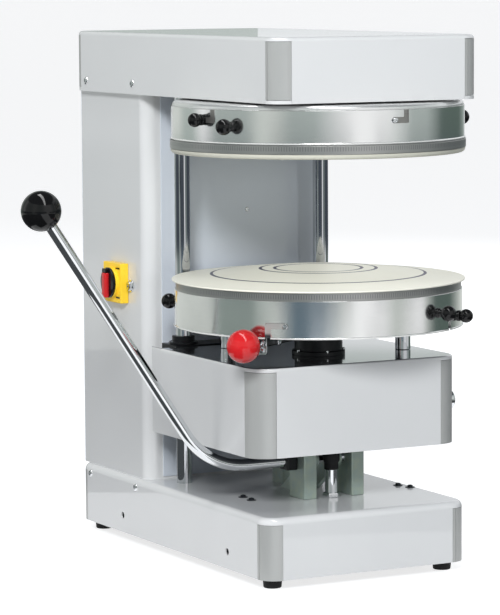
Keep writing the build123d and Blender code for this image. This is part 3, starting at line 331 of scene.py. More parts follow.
disc = Vector((*middle("lower_plate").xy, 0))


def atDrum(radius, angle, z):
    return disc + outward(angle) * radius + up(z)


print("tools ready")

baseLow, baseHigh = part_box("base_housing")
headLow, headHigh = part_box("head_housing")
carLow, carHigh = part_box("carriage_housing")
colLow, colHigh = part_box("column_cover")
paintLook = {"tone": (223, 223, 222), "speck": (208, 209, 210), "speckSize": 4200, "cloudSize": 7,
             "speckMix": 0.5, "cloudMix": 0.35, "rough": 0.3, "speckRough": 0.06, "cloudRough": 0.12,
             "coat": 0.9, "coatRough": 0.04, "specular": 0.5, "peel": 800, "peelStrength": 0.2,
             "peelDepth": 0.012 * mm, "deck": (164, 168, 173), "deckFade": (0.9 * mm, 0.2 * mm),
             "polish": 0.85, "deckSmooth": 0.7, "deckCoat": 0.9}


def makePaint(name, look, deck=None):
    # satin silver enamel: metal specks under a clear coat with orange peel
    # a deck is polished at its height
    coat = look["coat"]
    paint = Finish(name, look["tone"], coat=coat, coatRoughness=look["coatRough"],
                   specular=look["specular"])
    speck = paint.noise(look["speckSize"], detail=1.0)
    cloud = paint.noise(look["cloudSize"], detail=3.0)
    colour = paint.mix(speck * look["speckMix"] + cloud * look["cloudMix"], look["tone"], look["speck"])
    rough = cloud * look["cloudRough"] + speck * look["speckRough"] + look["rough"]
    if deck:
        polish = paint.rise(paint.part("Z"), *[deck - depth for depth in look["deckFade"]])
        colour = paint.mix(polish, colour, look["deck"])
        rough = rough * (1 - polish * look["deckSmooth"])
        paint.drive("Metallic", polish * look["polish"])
        paint.drive("Coat Weight", coat - polish * (coat - look["deckCoat"]))
    paint.drive("Base Color", colour)
    paint.drive("Roughness", rough)
    paint.bump(paint.noise(look["peel"], detail=1.0), look["peelStrength"], look["peelDepth"])
    return paint


silverPaint = makePaint("silverPaint", paintLook)
basePaint = makePaint("basePaint", {**paintLook, "deck": (222, 223, 224), "polish": 0.15, "deckCoat": 0.12,
                                     "specular": 0.15}, baseHigh.z)
carriagePaint = makePaint("carriagePaint", paintLook, carHigh.z)
# painted shade: the column panel is the silver enamel tinted blue, the cool shade of the recess painted
# into its colour
panelShadePaint = makePaint("panelShadePaint", {**paintLook, "tone": (214, 220, 228), "speck": (200, 206, 215)})

# tone, roughness, metallic, how fine the lines are along each axis, their bump
metalLook = {"cornerStrip": ((182, 183, 181), 0.42, 0.25, (60, 60, 0.6), 0.25),
             "chrome": ((228, 230, 232), 0.05, 1.0, (4, 4, 60), 0.0),
             "barSteel": ((205, 207, 211), 0.05, 1.0, (40, 40, 1), 0.0),
             "skirtSteel": ((240, 241, 241), 0.15, 1.0, (0.8, 0.8, 90), 0.0),
             "darkSteel": ((52, 55, 60), 0.34, 0.8, (12, 12, 12), 0.1),
             "panAlloy": ((226, 227, 226), 0.3, 0.75, (1, 1, 40), 0.06),
             # the pan underside's dark tone below is painted shade
             "panUnderShade": ((74, 77, 80), 0.5, 0.6, (9, 9, 9), 0.1),
             "brightSteel": ((228, 230, 232), 0.2, 1.0, (20, 20, 20), 0.05),
             "zinc": ((172, 190, 183), 0.34, 0.5, (6, 6, 6), 0.1)}
markLook = {"lineSize": 60, "cloudSize": 14, "darker": 0.84, "depth": 0.01 * mm, "lineMix": 0.6,
            "cloudMix": 0.3, "lineRough": 0.5, "cloudRough": 0.4, "plainRough": 0.55}


def makeMetal(name, ownTone=False):
    # metal with fine lines left by drawing, turning or grinding, and cloudy handling marks
    colour, roughness, metallic, lines, strength = metalLook[name]
    metal = Finish(name, colour, metallic=metallic)
    metal.grain = metal.noise(markLook["lineSize"], lines, 3.0)
    cloud = metal.noise(markLook["cloudSize"], detail=3.0)
    if not ownTone:
        darker = (*[part * markLook["darker"] for part in tone(colour)[:3]], 1.0)
        marks = metal.grain * markLook["lineMix"] + cloud * markLook["cloudMix"]
        metal.drive("Base Color", metal.mix(marks, colour, darker))
    rough = metal.grain * markLook["lineRough"] + cloud * markLook["cloudRough"] + markLook["plainRough"]
    metal.drive("Roughness", rough * roughness)
    if strength:
        metal.bump(metal.grain, strength, markLook["depth"])
    return metal


cornerStrip = makeMetal("cornerStrip")
chrome = makeMetal("chrome")
barSteel = makeMetal("barSteel")
darkSteel = makeMetal("darkSteel")
brightSteel = makeMetal("brightSteel")
skirtSteel = makeMetal("skirtSteel", True)  # these four get their colour from their places
panAlloy = makeMetal("panAlloy", True)
panUnderShade = makeMetal("panUnderShade", True)
zinc = makeMetal("zinc", True)

zincLook = {"blue": (140, 160, 172), "blueSize": 38, "yellow": (184, 194, 172), "yellowSize": 90}
bluer = zinc.mix(zinc.noise(zincLook["blueSize"], detail=4.0), metalLook["zinc"][0], zincLook["blue"])
zinc.drive("Base Color", zinc.mix(zinc.noise(zincLook["yellowSize"]), bluer, zincLook["yellow"]))

scaleLook = {"tone": (170, 171, 170), "grain": (152, 152, 149), "grainSize": 60, "grainLines": (1, 1, 70),
             "grainMix": 0.6, "metallic": 0.8, "rough": 0.24, "grainRough": 0.15, "ticks": 360,
             "share": 0.34, "ink": (128, 128, 130), "inkMix": 0.85, "bump": 0.4, "depth": 0.1 * mm}


def makeScale(name, low, high):
    # dull band with a fine graduation between two heights
    band = Finish(name, scaleLook["tone"], metallic=scaleLook["metallic"])
    angle = band.around(disc.xy)[1]
    z = band.part("Z")
    tick = ((angle * scaleLook["ticks"]).maths("FRACT") < scaleLook["share"]) * (z > low) * (z < high)
    grain = band.noise(scaleLook["grainSize"], scaleLook["grainLines"])
    plain = band.mix(grain * scaleLook["grainMix"], scaleLook["tone"], scaleLook["grain"])
    band.drive("Base Color", band.mix(tick * scaleLook["inkMix"], plain, scaleLook["ink"]))
    band.drive("Roughness", grain * scaleLook["grainRough"] + scaleLook["rough"])
    band.bump(tick * -1, scaleLook["bump"], scaleLook["depth"])
    return band


# rings are (radius, line width), and their ink fades between two shares of that width
creamLook = {"tone": (247, 245, 232), "stain": (236, 233, 216), "stainSize": 11, "stainMix": 0.6,
             "rough": 0.34, "stainRough": 0.16, "coat": 0.1, "coatRough": 0.25, "ink": (34, 31, 66),
             "rings": scaled(((164, 4.8), (89, 5.2), (67, 5.4))), "ringFade": (0.55, 0.42), "inkSize": 300,
             "inkLeast": 0.85, "inkPatch": 0.3, "marks": 2600, "markBump": 0.05, "markDepth": 0.02 * mm}


def makeCream(name, look):
    # moulded food-grade disc: fine turning marks, faint flour stains and printed size rings
    cream = Finish(name, look["tone"], coat=look["coat"], coatRoughness=look["coatRough"])
    radius = cream.around(disc.xy)[0]
    cloud = cream.noise(look["stainSize"], detail=4.0)
    colour = cream.mix(cloud * look["stainMix"], look["tone"], look["stain"])
    for place, width in look["rings"]:
        fromLine = (radius - place).maths("ABSOLUTE")
        line = cream.rise(fromLine, *[width * share for share in look["ringFade"]])
        ink = cream.noise(look["inkSize"]) * look["inkPatch"] + look["inkLeast"]
        colour = cream.mix(line * ink, colour, look["ink"])
    cream.drive("Base Color", colour)
    cream.drive("Roughness", cloud * look["stainRough"] + look["rough"])
    cream.bump((radius * look["marks"]).maths("SINE"), look["markBump"], look["markDepth"])
    return cream


creamDisc = makeCream("creamDisc", creamLook)
# painted shade: the upper plate is the same cream as the lower one, painted darker, and has no rings
creamShadedPlain = makeCream("creamShadedPlain", {**creamLook, "tone": (210, 209, 195), "stain": (200, 198, 182),
                                      "rings": ()})

# tone, roughness, specular level, how fine the grain is, its depth in mm, metallic
plasticLook = {"blackGloss": ((13, 13, 14), 0.08, 0.3, 420, 0.005, 0.0),
               "redGloss": ((198, 32, 36), 0.1, 0.4, 420, 0.005, 0.0),
               "yellowGloss": ((255, 212, 52), 0.28, 0.4, 700, 0.012, 0.0),
               "blackRubber": ((30, 30, 31), 0.7, 0.3, 1500, 0.05, 0.0),
               "blackAlloy": ((24, 25, 28), 0.34, 0.4, 2200, 0.02, 0.3),
               "whiteRoller": ((232, 232, 226), 0.4, 0.4, 900, 0.02, 0.0),
               "castPaintAndShade": ((58, 61, 66), 0.5, 0.4, 500, 0.12, 0.2)}
grainLook = {"cloudSize": 24, "cloudMix": 0.7, "paler": 1.18, "lift": 0.002, "cloudRough": 0.3,
             "grainRough": 0.3, "plainRough": 0.7, "bump": 0.15}


def makeMoulded(name):
    # moulded or cast surface: faintly cloudy, with a fine grain
    colour, roughness, specular, size, depth, metallic = plasticLook[name]
    moulded = Finish(name, colour, specular=specular, metallic=metallic)
    cloud = moulded.noise(grainLook["cloudSize"], detail=3.0)
    grain = moulded.noise(size)
    paler = (*[part * grainLook["paler"] + grainLook["lift"] for part in tone(colour)[:3]], 1.0)
    moulded.drive("Base Color", moulded.mix(cloud * grainLook["cloudMix"], colour, paler))
    rough = cloud * grainLook["cloudRough"] + grain * grainLook["grainRough"] + grainLook["plainRough"]
    moulded.drive("Roughness", rough * roughness)
    moulded.bump(grain, grainLook["bump"], depth * mm)
    return moulded


blackGloss = makeMoulded("blackGloss")
redGloss = makeMoulded("redGloss")
yellowGloss = makeMoulded("yellowGloss")
blackRubber = makeMoulded("blackRubber")
blackAlloy = makeMoulded("blackAlloy")
whiteRoller = makeMoulded("whiteRoller")
castPaintAndShade = makeMoulded("castPaintAndShade")
print("finishes mixed")

# groove gives the bearings, from a strip's start, between which its face is cut away
shellLook = {**inMm(sheet=2, cap=6, edge=5.8, corner=28, seam=0.5, strip=3, seat=0.5, grooveDepth=0.9,
                    sole=6, soleGap=0.8), "groove": (9.5, 11.5)}
baseLook = {**shellLook, **inMm(cap=10.5, edge=10.2)}
carriageLook = {**shellLook, **inMm(edge=3, corner=35, rearWall=29, wallGap=0.1, stripEdge=0.5)}


def foldedShell(low, high, look, backCorner):
    # a deck with rolled edges on flat walls that stop short of the corner strips
    bm = bmesh.new()
    sheet = look["sheet"]
    corner = look["corner"]
    top = high.z - look["cap"]
    deck = slab(bm, (low.x, low.y, top), high, (corner, corner, backCorner, backCorner))
    bmesh.ops.bevel(bm, geom=list(deck.edges), offset=look["edge"], segments=6, profile=0.5, affect="EDGES",
                    material=-1)
    inset = corner + look["seam"]
    backInset = backCorner + look["seam"] if backCorner else 0
    side = backInset or sheet
    slab(bm, (low.x + inset, low.y, low.z), (high.x - inset, low.y + sheet, top))
    slab(bm, (low.x + side, high.y - sheet, low.z), (high.x - side, high.y, top))
    for x in (low.x, high.x - sheet):
        slab(bm, (x, low.y + inset, low.z), (x + sheet, high.y - backInset, top))
    return bm


def arcRing(bm, centre, inner, outer, first, last, low, high):
    start = outward(first)
    points = [Vector((*centre, z)) + start * radius for radius, z in oblong(inner, outer, low, high)]
    face = bm.faces.new([bm.verts.new(point) for point in points])
    bmesh.ops.spin(bm, geom=[face, *face.edges, *face.verts], cent=(*centre, 0), axis=upright,
                   angle=math.radians(last - first), steps=max(2, int((last - first) / 6)))


def corners(low, high, inset):
    # the four corner centres in plan, each with the bearing where its strip starts
    return (((high.x - inset, high.y - inset), 0), ((low.x + inset, high.y - inset), 90),
            ((low.x + inset, low.y + inset), 180), ((high.x - inset, low.y + inset), 270))


# places are (depth, height) on a side and (width, depth) on the deck
fastenerLook = inMm(sideScrew=(6, 2.4), sideHole=5.3, holeDepth=10, deckScrew=(4.5, 3, 7.5),
                    baseScrews=((283, 94.5), (115, 94.5)), headScrews=((284, 740), (113.5, 740)),
                    baseHoles=((163, 42.6), (-200, 41.4)),
                    deckScrews=((-110, -128), (-112, -159), (154, -151), (161, -176)))

bm = foldedShell(baseLow, baseHigh, baseLook, baseLook["corner"])
cutter = bmesh.new()
depth = fastenerLook["holeDepth"]
for x in (baseLow.x, baseHigh.x):
    for y, z in fastenerLook["baseHoles"]:
        turn(cutter, oblong(0, fastenerLook["sideHole"], -depth, depth), (x, y, z), right, steps=32)
addPiece(bm, "baseShell", basePaint, "frame", "base_housing", cutter=cutter)

outer = shellLook["corner"]
headSole = headLow.z + shellLook["sole"]
bm = foldedShell(headLow, headHigh, shellLook, outer)
for centre, bearing in corners(headLow, headHigh, outer):
    arcRing(bm, centre, outer - shellLook["strip"], outer, bearing, bearing + 90, headLow.z,
            headSole - shellLook["soleGap"])
addPiece(bm, "headShell", silverPaint, "frame", "head_housing")

bm = bmesh.new()
for low, high, foot, look in ((baseLow, baseHigh, baseLow.z, baseLook),
                              (headLow, headHigh, headSole, shellLook)):
    outer = look["corner"]
    seat = outer - look["grooveDepth"]
    top = high.z - look["cap"] - look["seat"]
    lipEnd, faceStart = look["groove"]
    for centre, bearing in corners(low, high, outer):
        # a backing ring with a narrow lip, a groove and the broad face on it
        arcRing(bm, centre, outer - look["strip"], seat, bearing, bearing + 90, foot, top)
        arcRing(bm, centre, seat, outer, bearing, bearing + lipEnd, foot, top)
        arcRing(bm, centre, seat, outer, bearing + faceStart, bearing + 90, foot, top)
addPiece(bm, "cornerStrips", cornerStrip, "frame", "corner_profiles")

sheet = carriageLook["sheet"]
deckEnd = carHigh.y - carriageLook["rearWall"]
bm = foldedShell(carLow, Vector((carHigh.x, deckEnd, carHigh.z)), carriageLook, 0)
for x in (carLow.x, carHigh.x - sheet):
    slab(bm, (x, deckEnd + carriageLook["wallGap"], carLow.z), (x + sheet, carHigh.y, carHigh.z))
addPiece(bm, "carriageShell", carriagePaint, "carriage", "carriage_housing")

bm = bmesh.new()
outer = carriageLook["corner"]
top = carHigh.z - carriageLook["cap"] - carriageLook["seat"]
for centre, bearing in corners(carLow, carHigh, outer)[2:]:
    arcRing(bm, centre, outer - carriageLook["strip"], outer, bearing, bearing + 90, carLow.z, top)
addPiece(bm, "carriageStrips", cornerStrip, "carriage", "carriage_corner_profiles",
         edge=carriageLook["stripEdge"])
print("housings folded")

columnLook = {**inMm(round=20, sheet=2, panelInset=8, panelMargin=4, panelEdge=0.9, screw=(4, 1.8),
                     panelScrews=((15.7, 535), (15.7, 250)), rearScrews=150, rearMargin=18, ventWidth=110,
                     ventHeight=5, ventPitch=13, ventZ=560, ventPast=5, ventDepth=15), "vents": 9,
              "ventEnds": 0.49}
bm = bmesh.new()
outline = [bm.verts.new((x, y, colLow.z)) for x, y in
           ((colLow.x, colHigh.y), (colLow.x, colLow.y), (colHigh.x, colLow.y), (colHigh.x, colHigh.y))]
for pair in zip(outline, outline[1:]):
    bm.edges.new(pair)
roundCorners(bm, outline[1:3], (columnLook["round"],) * 2, 10)
walls = bmesh.ops.extrude_edge_only(bm, edges=bm.edges[:])["geom"]
bmesh.ops.translate(bm, vec=(0, 0, colHigh.z - colLow.z), verts=vertsOf(walls))
bmesh.ops.recalc_face_normals(bm, faces=bm.faces)
bmesh.ops.solidify(bm, geom=bm.faces[:], thickness=columnLook["sheet"])
addPiece(bm, "columnShell", silverPaint, "frame", "column_cover")

panelLow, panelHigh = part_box("column_panels")
panelHalf = colHigh.x - columnLook["round"] - columnLook["panelInset"]
margin = columnLook["panelMargin"]
tall = columnLook["ventHeight"]
bm = bmesh.new()
slab(bm, (-panelHalf, panelLow.y, panelLow.z + margin), (panelHalf, colLow.y, panelHigh.z - margin))
slab(bm, (panelLow.x, panelHigh.y - columnLook["sheet"], panelLow.z), panelHigh)
cutter = bmesh.new()
for row in range(columnLook["vents"]):
    start = Vector((0, panelHigh.y + columnLook["ventPast"],
                    columnLook["ventZ"] + row * columnLook["ventPitch"]))
    board(cutter, start, Vector(right), columnLook["ventWidth"] / 2, 0, tall,
          (0, -columnLook["ventDepth"], 0), (tall * columnLook["ventEnds"],) * 4)
addPiece(bm, "columnPanels", panelShadePaint, "frame", "column_panels",
         edge=columnLook["panelEdge"], cutter=cutter)

bm = bmesh.new()
for axis, baseX, headX in ((left, baseLow.x, headLow.x), (right, baseHigh.x, headHigh.x)):
    for x, places in ((baseX, fastenerLook["baseScrews"]), (headX, fastenerLook["headScrews"])):
        for y, z in places:
            domeScrew(bm, (x, y, z), axis, *fastenerLook["sideScrew"])
for x, z in columnLook["panelScrews"]:
    domeScrew(bm, (x, panelLow.y, z), front, *columnLook["screw"])
margin = columnLook["rearMargin"]
for x in (-columnLook["rearScrews"], columnLook["rearScrews"]):
    for z in (panelLow.z + margin, (panelLow.z + panelHigh.z) / 2, panelHigh.z - margin):
        domeScrew(bm, (x, panelHigh.y, z), rear, *columnLook["screw"])
addPiece(bm, "housingScrews", brightSteel, "frame")
bm = bmesh.new()
for x, y in fastenerLook["deckScrews"]:
    domeScrew(bm, (x, y, baseHigh.z), upright, *fastenerLook["deckScrew"])
addPiece(bm, "deckScrews", darkSteel, "frame")
print("column raised")


def rods(name, finish, body, node, radius, centres, chamfer):
    low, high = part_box(node)
    bm = bmesh.new()
    for x, y in centres:
        turn(bm, oblong(0, radius, 0, high.z - low.z), (x, y, low.z), rounds=(0, chamfer, chamfer),
             steps=48, bend=3)
    addPiece(bm, name, finish, body, node)


rodLook = inMm(bar=12.5, post=12, stop=10, chamfer=1, stopChamfer=0.5)
barLow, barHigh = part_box("guide_bars")
barY = (barLow.y + barHigh.y) / 2
barPlaces = ((barLow.x + rodLook["bar"], barY), (barHigh.x - rodLook["bar"], barY))
rods("guideBars", barSteel, "frame", "guide_bars", rodLook["bar"], barPlaces, rodLook["chamfer"])
postLow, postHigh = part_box("support_posts")
reach = rodLook["post"]
postPlaces = ((postHigh.x - reach, postLow.y + reach), (postLow.x + reach, postHigh.y - reach))
rods("supportPosts", barSteel, "carriage", "support_posts", reach, postPlaces, rodLook["chamfer"])

footLow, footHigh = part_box("rubber_feet")
footLook = inMm(radius=15, ground=13.5, hollow=7, hollowTop=6, hollowHeight=4, rounds=(0, 1, 1.5))
reach = footLook["radius"]
outline = ((0, footHigh.z), (reach, footHigh.z), (footLook["ground"], 0), (footLook["hollow"], 0),
           (footLook["hollowTop"], footLook["hollowHeight"]), (0, footLook["hollowHeight"]))
bm = bmesh.new()
for x in (footLow.x + reach, footHigh.x - reach):
    for y in (footLow.y + reach, footHigh.y - reach):
        turn(bm, outline, (x, y, 0), rounds=footLook["rounds"], steps=40, bend=3)
addPiece(bm, "rubberFeet", blackRubber, "frame", "rubber_feet")

# slots are cut from inside the skirt to past its edge
# a bead is how far it stands out, its height and its shoulder
drumLook = {**inMm(wall=1.5, slotHalf=4.5, slotInset=6, slotReach=12, slotPast=5),
            "slotRounds": (0.96, 0.5, 0, 0, 0.3, 0.96)}
upperDrum = {**inMm(skirt=224, ring=226, ringInner=222.5, split=14.4, bead=(1.2, 1.6, 2.2),
                    rounds=(0, 0.5, 0.6, 0.4, 0.4, 0.4), ringDrop=1.6, neckDrop=1.2, neckInset=0.6,
                    ringRounds=(0, 0.6, 0.6), scale=(5, 3)), "body": "upper_drum", "held": "frame",
             "pins": (191.5, 271, 91, 11.5), "slotTurn": 5.3, "handles": (206, 353),
             "pinZ": middle("upper_pins").z}
lowerDrum = {**inMm(skirt=221, ring=219, ringInner=216, split=12.3, bead=(1.5, 2, 2.4),
                    rounds=(0.3, 0.6, 0.7, 0.3, 0.6, 0.4), ledge=0.3, ringRounds=(0, 0, 0.2, 0.2, 0.5),
                    scale=(3, 3)), "body": "lower_drum", "held": "carriage", "pins": (311, 228, 48, 131),
             "slotTurn": -7, "handles": (295, 137), "pinZ": middle("lower_pins").z}
hoop = {"steps": 192, "closed": True, "bend": 3}


def bayonetSlots(drum, openTo):
    # cutters for the L slots: a level run from the pin, then a leg out to the edge of the skirt
    bm = bmesh.new()
    half = drumLook["slotHalf"]
    run = drum["skirt"] * math.radians(abs(drum["slotTurn"]))
    leg = openTo - drum["pinZ"]
    rise = math.copysign(half, leg)
    flat = ((-half, -rise), (run + half, -rise), (run + half, leg), (run - half, leg), (run - half, rise),
            (-half, rise))
    for angle in drum["pins"]:
        out = outward(angle + drum["slotTurn"] / 2)
        along = sideOf(out) * math.copysign(1, drum["slotTurn"])
        start = disc + up(drum["pinZ"]) + out * (drum["skirt"] - drumLook["slotInset"]) - along * run / 2
        points = [start + along * across + up(height) for across, height in flat]
        face = flatFace(bm, points, [half * share for share in drumLook["slotRounds"]], 6)
        drawOut(bm, face, out * drumLook["slotReach"])
    return bm


def addSkirt(name, node, drum, foot, top, openTo):
    # rolled sheet with a bead along its foot
    outer = drum["skirt"]
    inner = outer - drumLook["wall"]
    proud, height, shoulder = drum["bead"]
    outline = ((inner, foot), (outer + proud, foot), (outer + proud, foot + height),
               (outer, foot + shoulder), (outer, top), (inner, top))
    addPiece(turned(outline, disc, rounds=drum["rounds"], **hoop), name, skirtSteel, drum["body"],
             node, cutter=bayonetSlots(drum, openTo))


def addRing(name, drum, outline, low, high):
    # the graduation keeps clear of the ring's edges
    finish = makeScale(name.replace("Ring", "Scale"), low + drum["scale"][0], high - drum["scale"][1])
    addPiece(turned(outline, disc, rounds=drum["ringRounds"], **hoop), name, finish, drum["body"])


upperLow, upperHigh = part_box("upper_skirt")
upperSplit = upperLow.z + upperDrum["split"]
addSkirt("upperSkirt", "upper_skirt", upperDrum, upperSplit, upperHigh.z,
         upperHigh.z + drumLook["slotPast"])
ring = upperDrum["ring"]
inner = upperDrum["ringInner"]
neck = upperDrum["skirt"] - upperDrum["neckInset"]
outline = ((inner, upperLow.z), (ring, upperLow.z), (ring, upperSplit - upperDrum["ringDrop"]),
           (neck, upperSplit - upperDrum["neckDrop"]), (neck, upperSplit), (inner, upperSplit))
addRing("upperRing", upperDrum, outline, upperLow.z, upperSplit)

lowerLow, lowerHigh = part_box("lower_skirt")
lowerSplit = lowerHigh.z - lowerDrum["split"]
addSkirt("lowerSkirt", "lower_skirt", lowerDrum, lowerLow.z, lowerSplit, lowerLow.z - drumLook["slotPast"])
ring = lowerDrum["ring"]
inner = lowerDrum["ringInner"]
neck = lowerDrum["skirt"] - drumLook["wall"]
foot = lowerSplit - drumLook["wall"]
ledge = lowerSplit + lowerDrum["ledge"]
outline = ((inner, foot), (neck, foot), (neck, ledge), (ring, ledge), (ring, lowerHigh.z),
           (inner, lowerHigh.z))
addRing("lowerRing", lowerDrum, outline, lowerSplit, lowerHigh.z)

# the rolled beads at the skirts' edges are a brighter, less metallic tone than the brushed walls: a painted
# highlight line along each bead
beadHighlightLook = {"tone": (232, 232, 229), "grain": (222, 223, 223), "grainMix": 0.6, "dull": 0.7,
            "upper": 2 * mm, "lower": 2.2 * mm}
z = skirtSteel.part("Z")
# painted highlight: this mask picks out the beads, which take the brighter, duller tone
bead = (z > upperSplit) * (z < upperSplit + beadHighlightLook["upper"]) + (z < lowerLow.z + beadHighlightLook["lower"])
brushed = skirtSteel.grain * beadHighlightLook["grainMix"]
plain = skirtSteel.mix(brushed, metalLook["skirtSteel"][0], beadHighlightLook["grain"])
skirtSteel.drive("Base Color", skirtSteel.mix(bead, plain, beadHighlightLook["tone"]))
skirtSteel.drive("Metallic", 1 - bead * beadHighlightLook["dull"])
print("skirts rolled")

# a boss is its bore and radius; rounds run from the bore out and back
# shoulder and side give the heights over the skirts' edges where the tone changes; below them the pans are
# painted darker, as shade inside the upper slots and under the lower drum
panLook = {**inMm(wall=3, gap=0.3, rounds=(0, 0.5, 0, 6, 0.5, 0.5, 2), upperBoss=(40.2, 60), bossRise=3,
                  lowerBoss=(18, 30), bossSkin=0.01, shoulder=(-1, 1), side=(5, 9)),
           "shade": (150, 148, 145), "sideTone": (196, 196, 193)}


def addPan(name, node, finish, drum, foot, top, boss, bossHigh):
    # spun dish: foot is the open rim, top the closed face, with a raised boss round the spindle
    wall = panLook["wall"]
    skin = top + math.copysign(wall, foot - top)
    bore, bossRadius = boss
    radius = drum["skirt"] - drumLook["wall"] - panLook["gap"]
    outline = ((bore, bossHigh), (bossRadius, bossHigh), (bossRadius, top), (radius, top), (radius, foot),
               (radius - wall, foot), (radius - wall, skin), (bore, skin))
    addPiece(turned(outline, disc, rounds=panLook["rounds"], steps=160, closed=True), name, finish,
             drum["held"], node)


# painted shade: the upper pan's wall below the skirt's top, seen only through the slots, is darker than its
# shoulder
shoulder = panAlloy.rise(panAlloy.part("Z"), *[upperHigh.z + rise for rise in panLook["shoulder"]])
panAlloy.drive("Base Color", panAlloy.mix(shoulder, panLook["shade"], metalLook["panAlloy"][0]))
# painted shade: the lower pan is dark on its underside, the shade under the drum painted in; its side wall
# behind the slots is lighter
sideWall = panUnderShade.rise(panUnderShade.part("Z"), *[lowerLow.z + rise for rise in panLook["side"]])
panUnderShade.drive("Base Color", panUnderShade.mix(sideWall, metalLook["panUnderShade"][0], panLook["sideTone"]))
panLow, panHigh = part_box("upper_pan")
addPan("upperPan", "upper_pan", panAlloy, upperDrum, panLow.z, panHigh.z - panLook["bossRise"],
       panLook["upperBoss"], panHigh.z)
panLow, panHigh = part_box("lower_pan")
addPan("lowerPan", "lower_pan", panUnderShade, lowerDrum, panHigh.z, panLow.z, panLook["lowerBoss"],
       panLow.z + panLook["bossSkin"])

pinLook = inMm(radius=4, proud=4, root=6, rounds=(0, 0, 0.8), socket=2, socketFoot=1.8, socketDepth=2,
               ballRadius=10.5, reach=16, neckRounds=(0, 0.8, 1, 0.6),
               neck=((0, 1), (8, 1), (8.6, 6.5), (5.6, 8), (5.6, 16), (0, 16)))
handleLook = inMm(ballRadius=11.95, reach=18, neckRounds=(0, 0, 0, 0.5, 0.8, 0.5),
                  neck=((0, -1.5), (3, -1.5), (3, 0), (7.5, 0), (7.5, 2.5), (6, 4), (6, 18), (0, 18)))


def ballKnob(bm, look, drum, angle, z, steps):
    # a ball on a neck that stands out from the skirt
    turn(bm, look["neck"], atDrum(drum["skirt"], angle, z), outward(angle), look["neckRounds"], steps,
         bend=3)
    ball(bm, atDrum(drum["skirt"] + look["reach"], angle, z), look["ballRadius"])


def addPins(name, knobName, node, drum):
    # the first pin carries a knob
    pin = pinLook["radius"]
    length = pinLook["proud"] + pinLook["root"]
    floor = length - pinLook["socketDepth"]
    outline = ((0, 0), (pin, 0), (pin, length), (pinLook["socket"], length), (pinLook["socketFoot"], floor),
               (0, floor))
    bm = bmesh.new()
    for angle in drum["pins"]:
        turn(bm, outline, atDrum(drum["skirt"] - pinLook["root"], angle, drum["pinZ"]), outward(angle),
             pinLook["rounds"], steps=32, bend=3)
    addPiece(bm, name, brightSteel, drum["held"], node)
    bm = bmesh.new()
    ballKnob(bm, pinLook, drum, drum["pins"][0], drum["pinZ"], steps=40)
    addPiece(bm, knobName, blackGloss, drum["held"])


def addHandles(name, node, drum):
    bm = bmesh.new()
    for angle in drum["handles"]:
        ballKnob(bm, handleLook, drum, angle, middle(node).z, steps=32)
    addPiece(bm, name, blackGloss, drum["body"], node)


addPins("upperPins", "upperPinKnob", "upper_pins", upperDrum)
addPins("lowerPins", "lowerPinKnob", "lower_pins", lowerDrum)
addHandles("upperHandles", "upper_handles", upperDrum)
addHandles("lowerHandles", "lower_handles", lowerDrum)
print("drums dressed")

plateLook = inMm(radius=225, flat=92, rim=2.5, fall=14.4, upperRim=7.8, step=20,
                 lowerRounds=(0, 0.8, 0.8, 12), upperRounds=(0, 6, 0.8), pocketHalf=7.8,
                 pocket=(100.5, 199.5), pocketRound=2, pocketPast=5)
plateLow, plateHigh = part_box("lower_plate")
rim = plateLook["radius"]
flat = plateLook["flat"]
outline = ((0, plateLow.z), (rim, plateLow.z), (rim, plateLow.z + plateLook["rim"]), (flat, plateHigh.z),
           (0, plateHigh.z))
addPiece(turned(outline, disc, rounds=plateLook["lowerRounds"], steps=192), "lowerPlate", creamDisc,
         "lower_turntable", "lower_plate")

plateLow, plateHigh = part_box("upper_plate")
step = rim - plateLook["step"]
rimTop = plateLow.z + plateLook["upperRim"]
outline = ((flat, plateLow.z + plateLook["fall"]), (rim, plateLow.z), (rim, rimTop), (step, rimTop),
           (step, plateHigh.z), (flat, plateHigh.z))
bm = turned(outline, disc, rounds=plateLook["upperRounds"], steps=192, closed=True)
cutter = bmesh.new()
past = plateLook["pocketPast"]
slope = math.atan(plateLook["fall"] / (rim - flat))
rollers = {}
for node in ("roller_1", "roller_2", "roller_3", "roller_4"):
    centre = middle(node)
    out = ((centre - disc) * Vector((1, 1, 0))).normalized()
    side = sideOf(out) * plateLook["pocketHalf"]
    inside, outside = [disc + out * place + up(plateLow.z - past) for place in plateLook["pocket"]]
    face = flatFace(cutter, (inside - side, inside + side, outside + side, outside - side),
                    (plateLook["pocketRound"],) * 4, 4)
    drawOut(cutter, face, up(plateHigh.z - plateLow.z + 2 * past))
    rollers[node] = (centre, out * math.cos(slope) - up(math.sin(slope)))
addPiece(bm, "upperPlate", creamShadedPlain, "upper_rotor", "upper_plate", cutter=cutter)

rollerLook = inMm(radius=7, half=46, axle=3, axleHalf=47.8, rounds=(0, 0, 0, 1.2, 1.2))
axle = rollerLook["axle"]
half = rollerLook["half"]
end = rollerLook["axleHalf"]
outline = ((0, -end), (axle, -end), *oblong(axle, rollerLook["radius"], -half, half), (axle, end), (0, end))
for node, (centre, axis) in rollers.items():
    bm = turned(outline, centre, axis, rollerLook["rounds"], steps=40, bend=3)
    addPiece(bm, node.replace("_", "Piece"), whiteRoller, node, node)
print("plates turned")

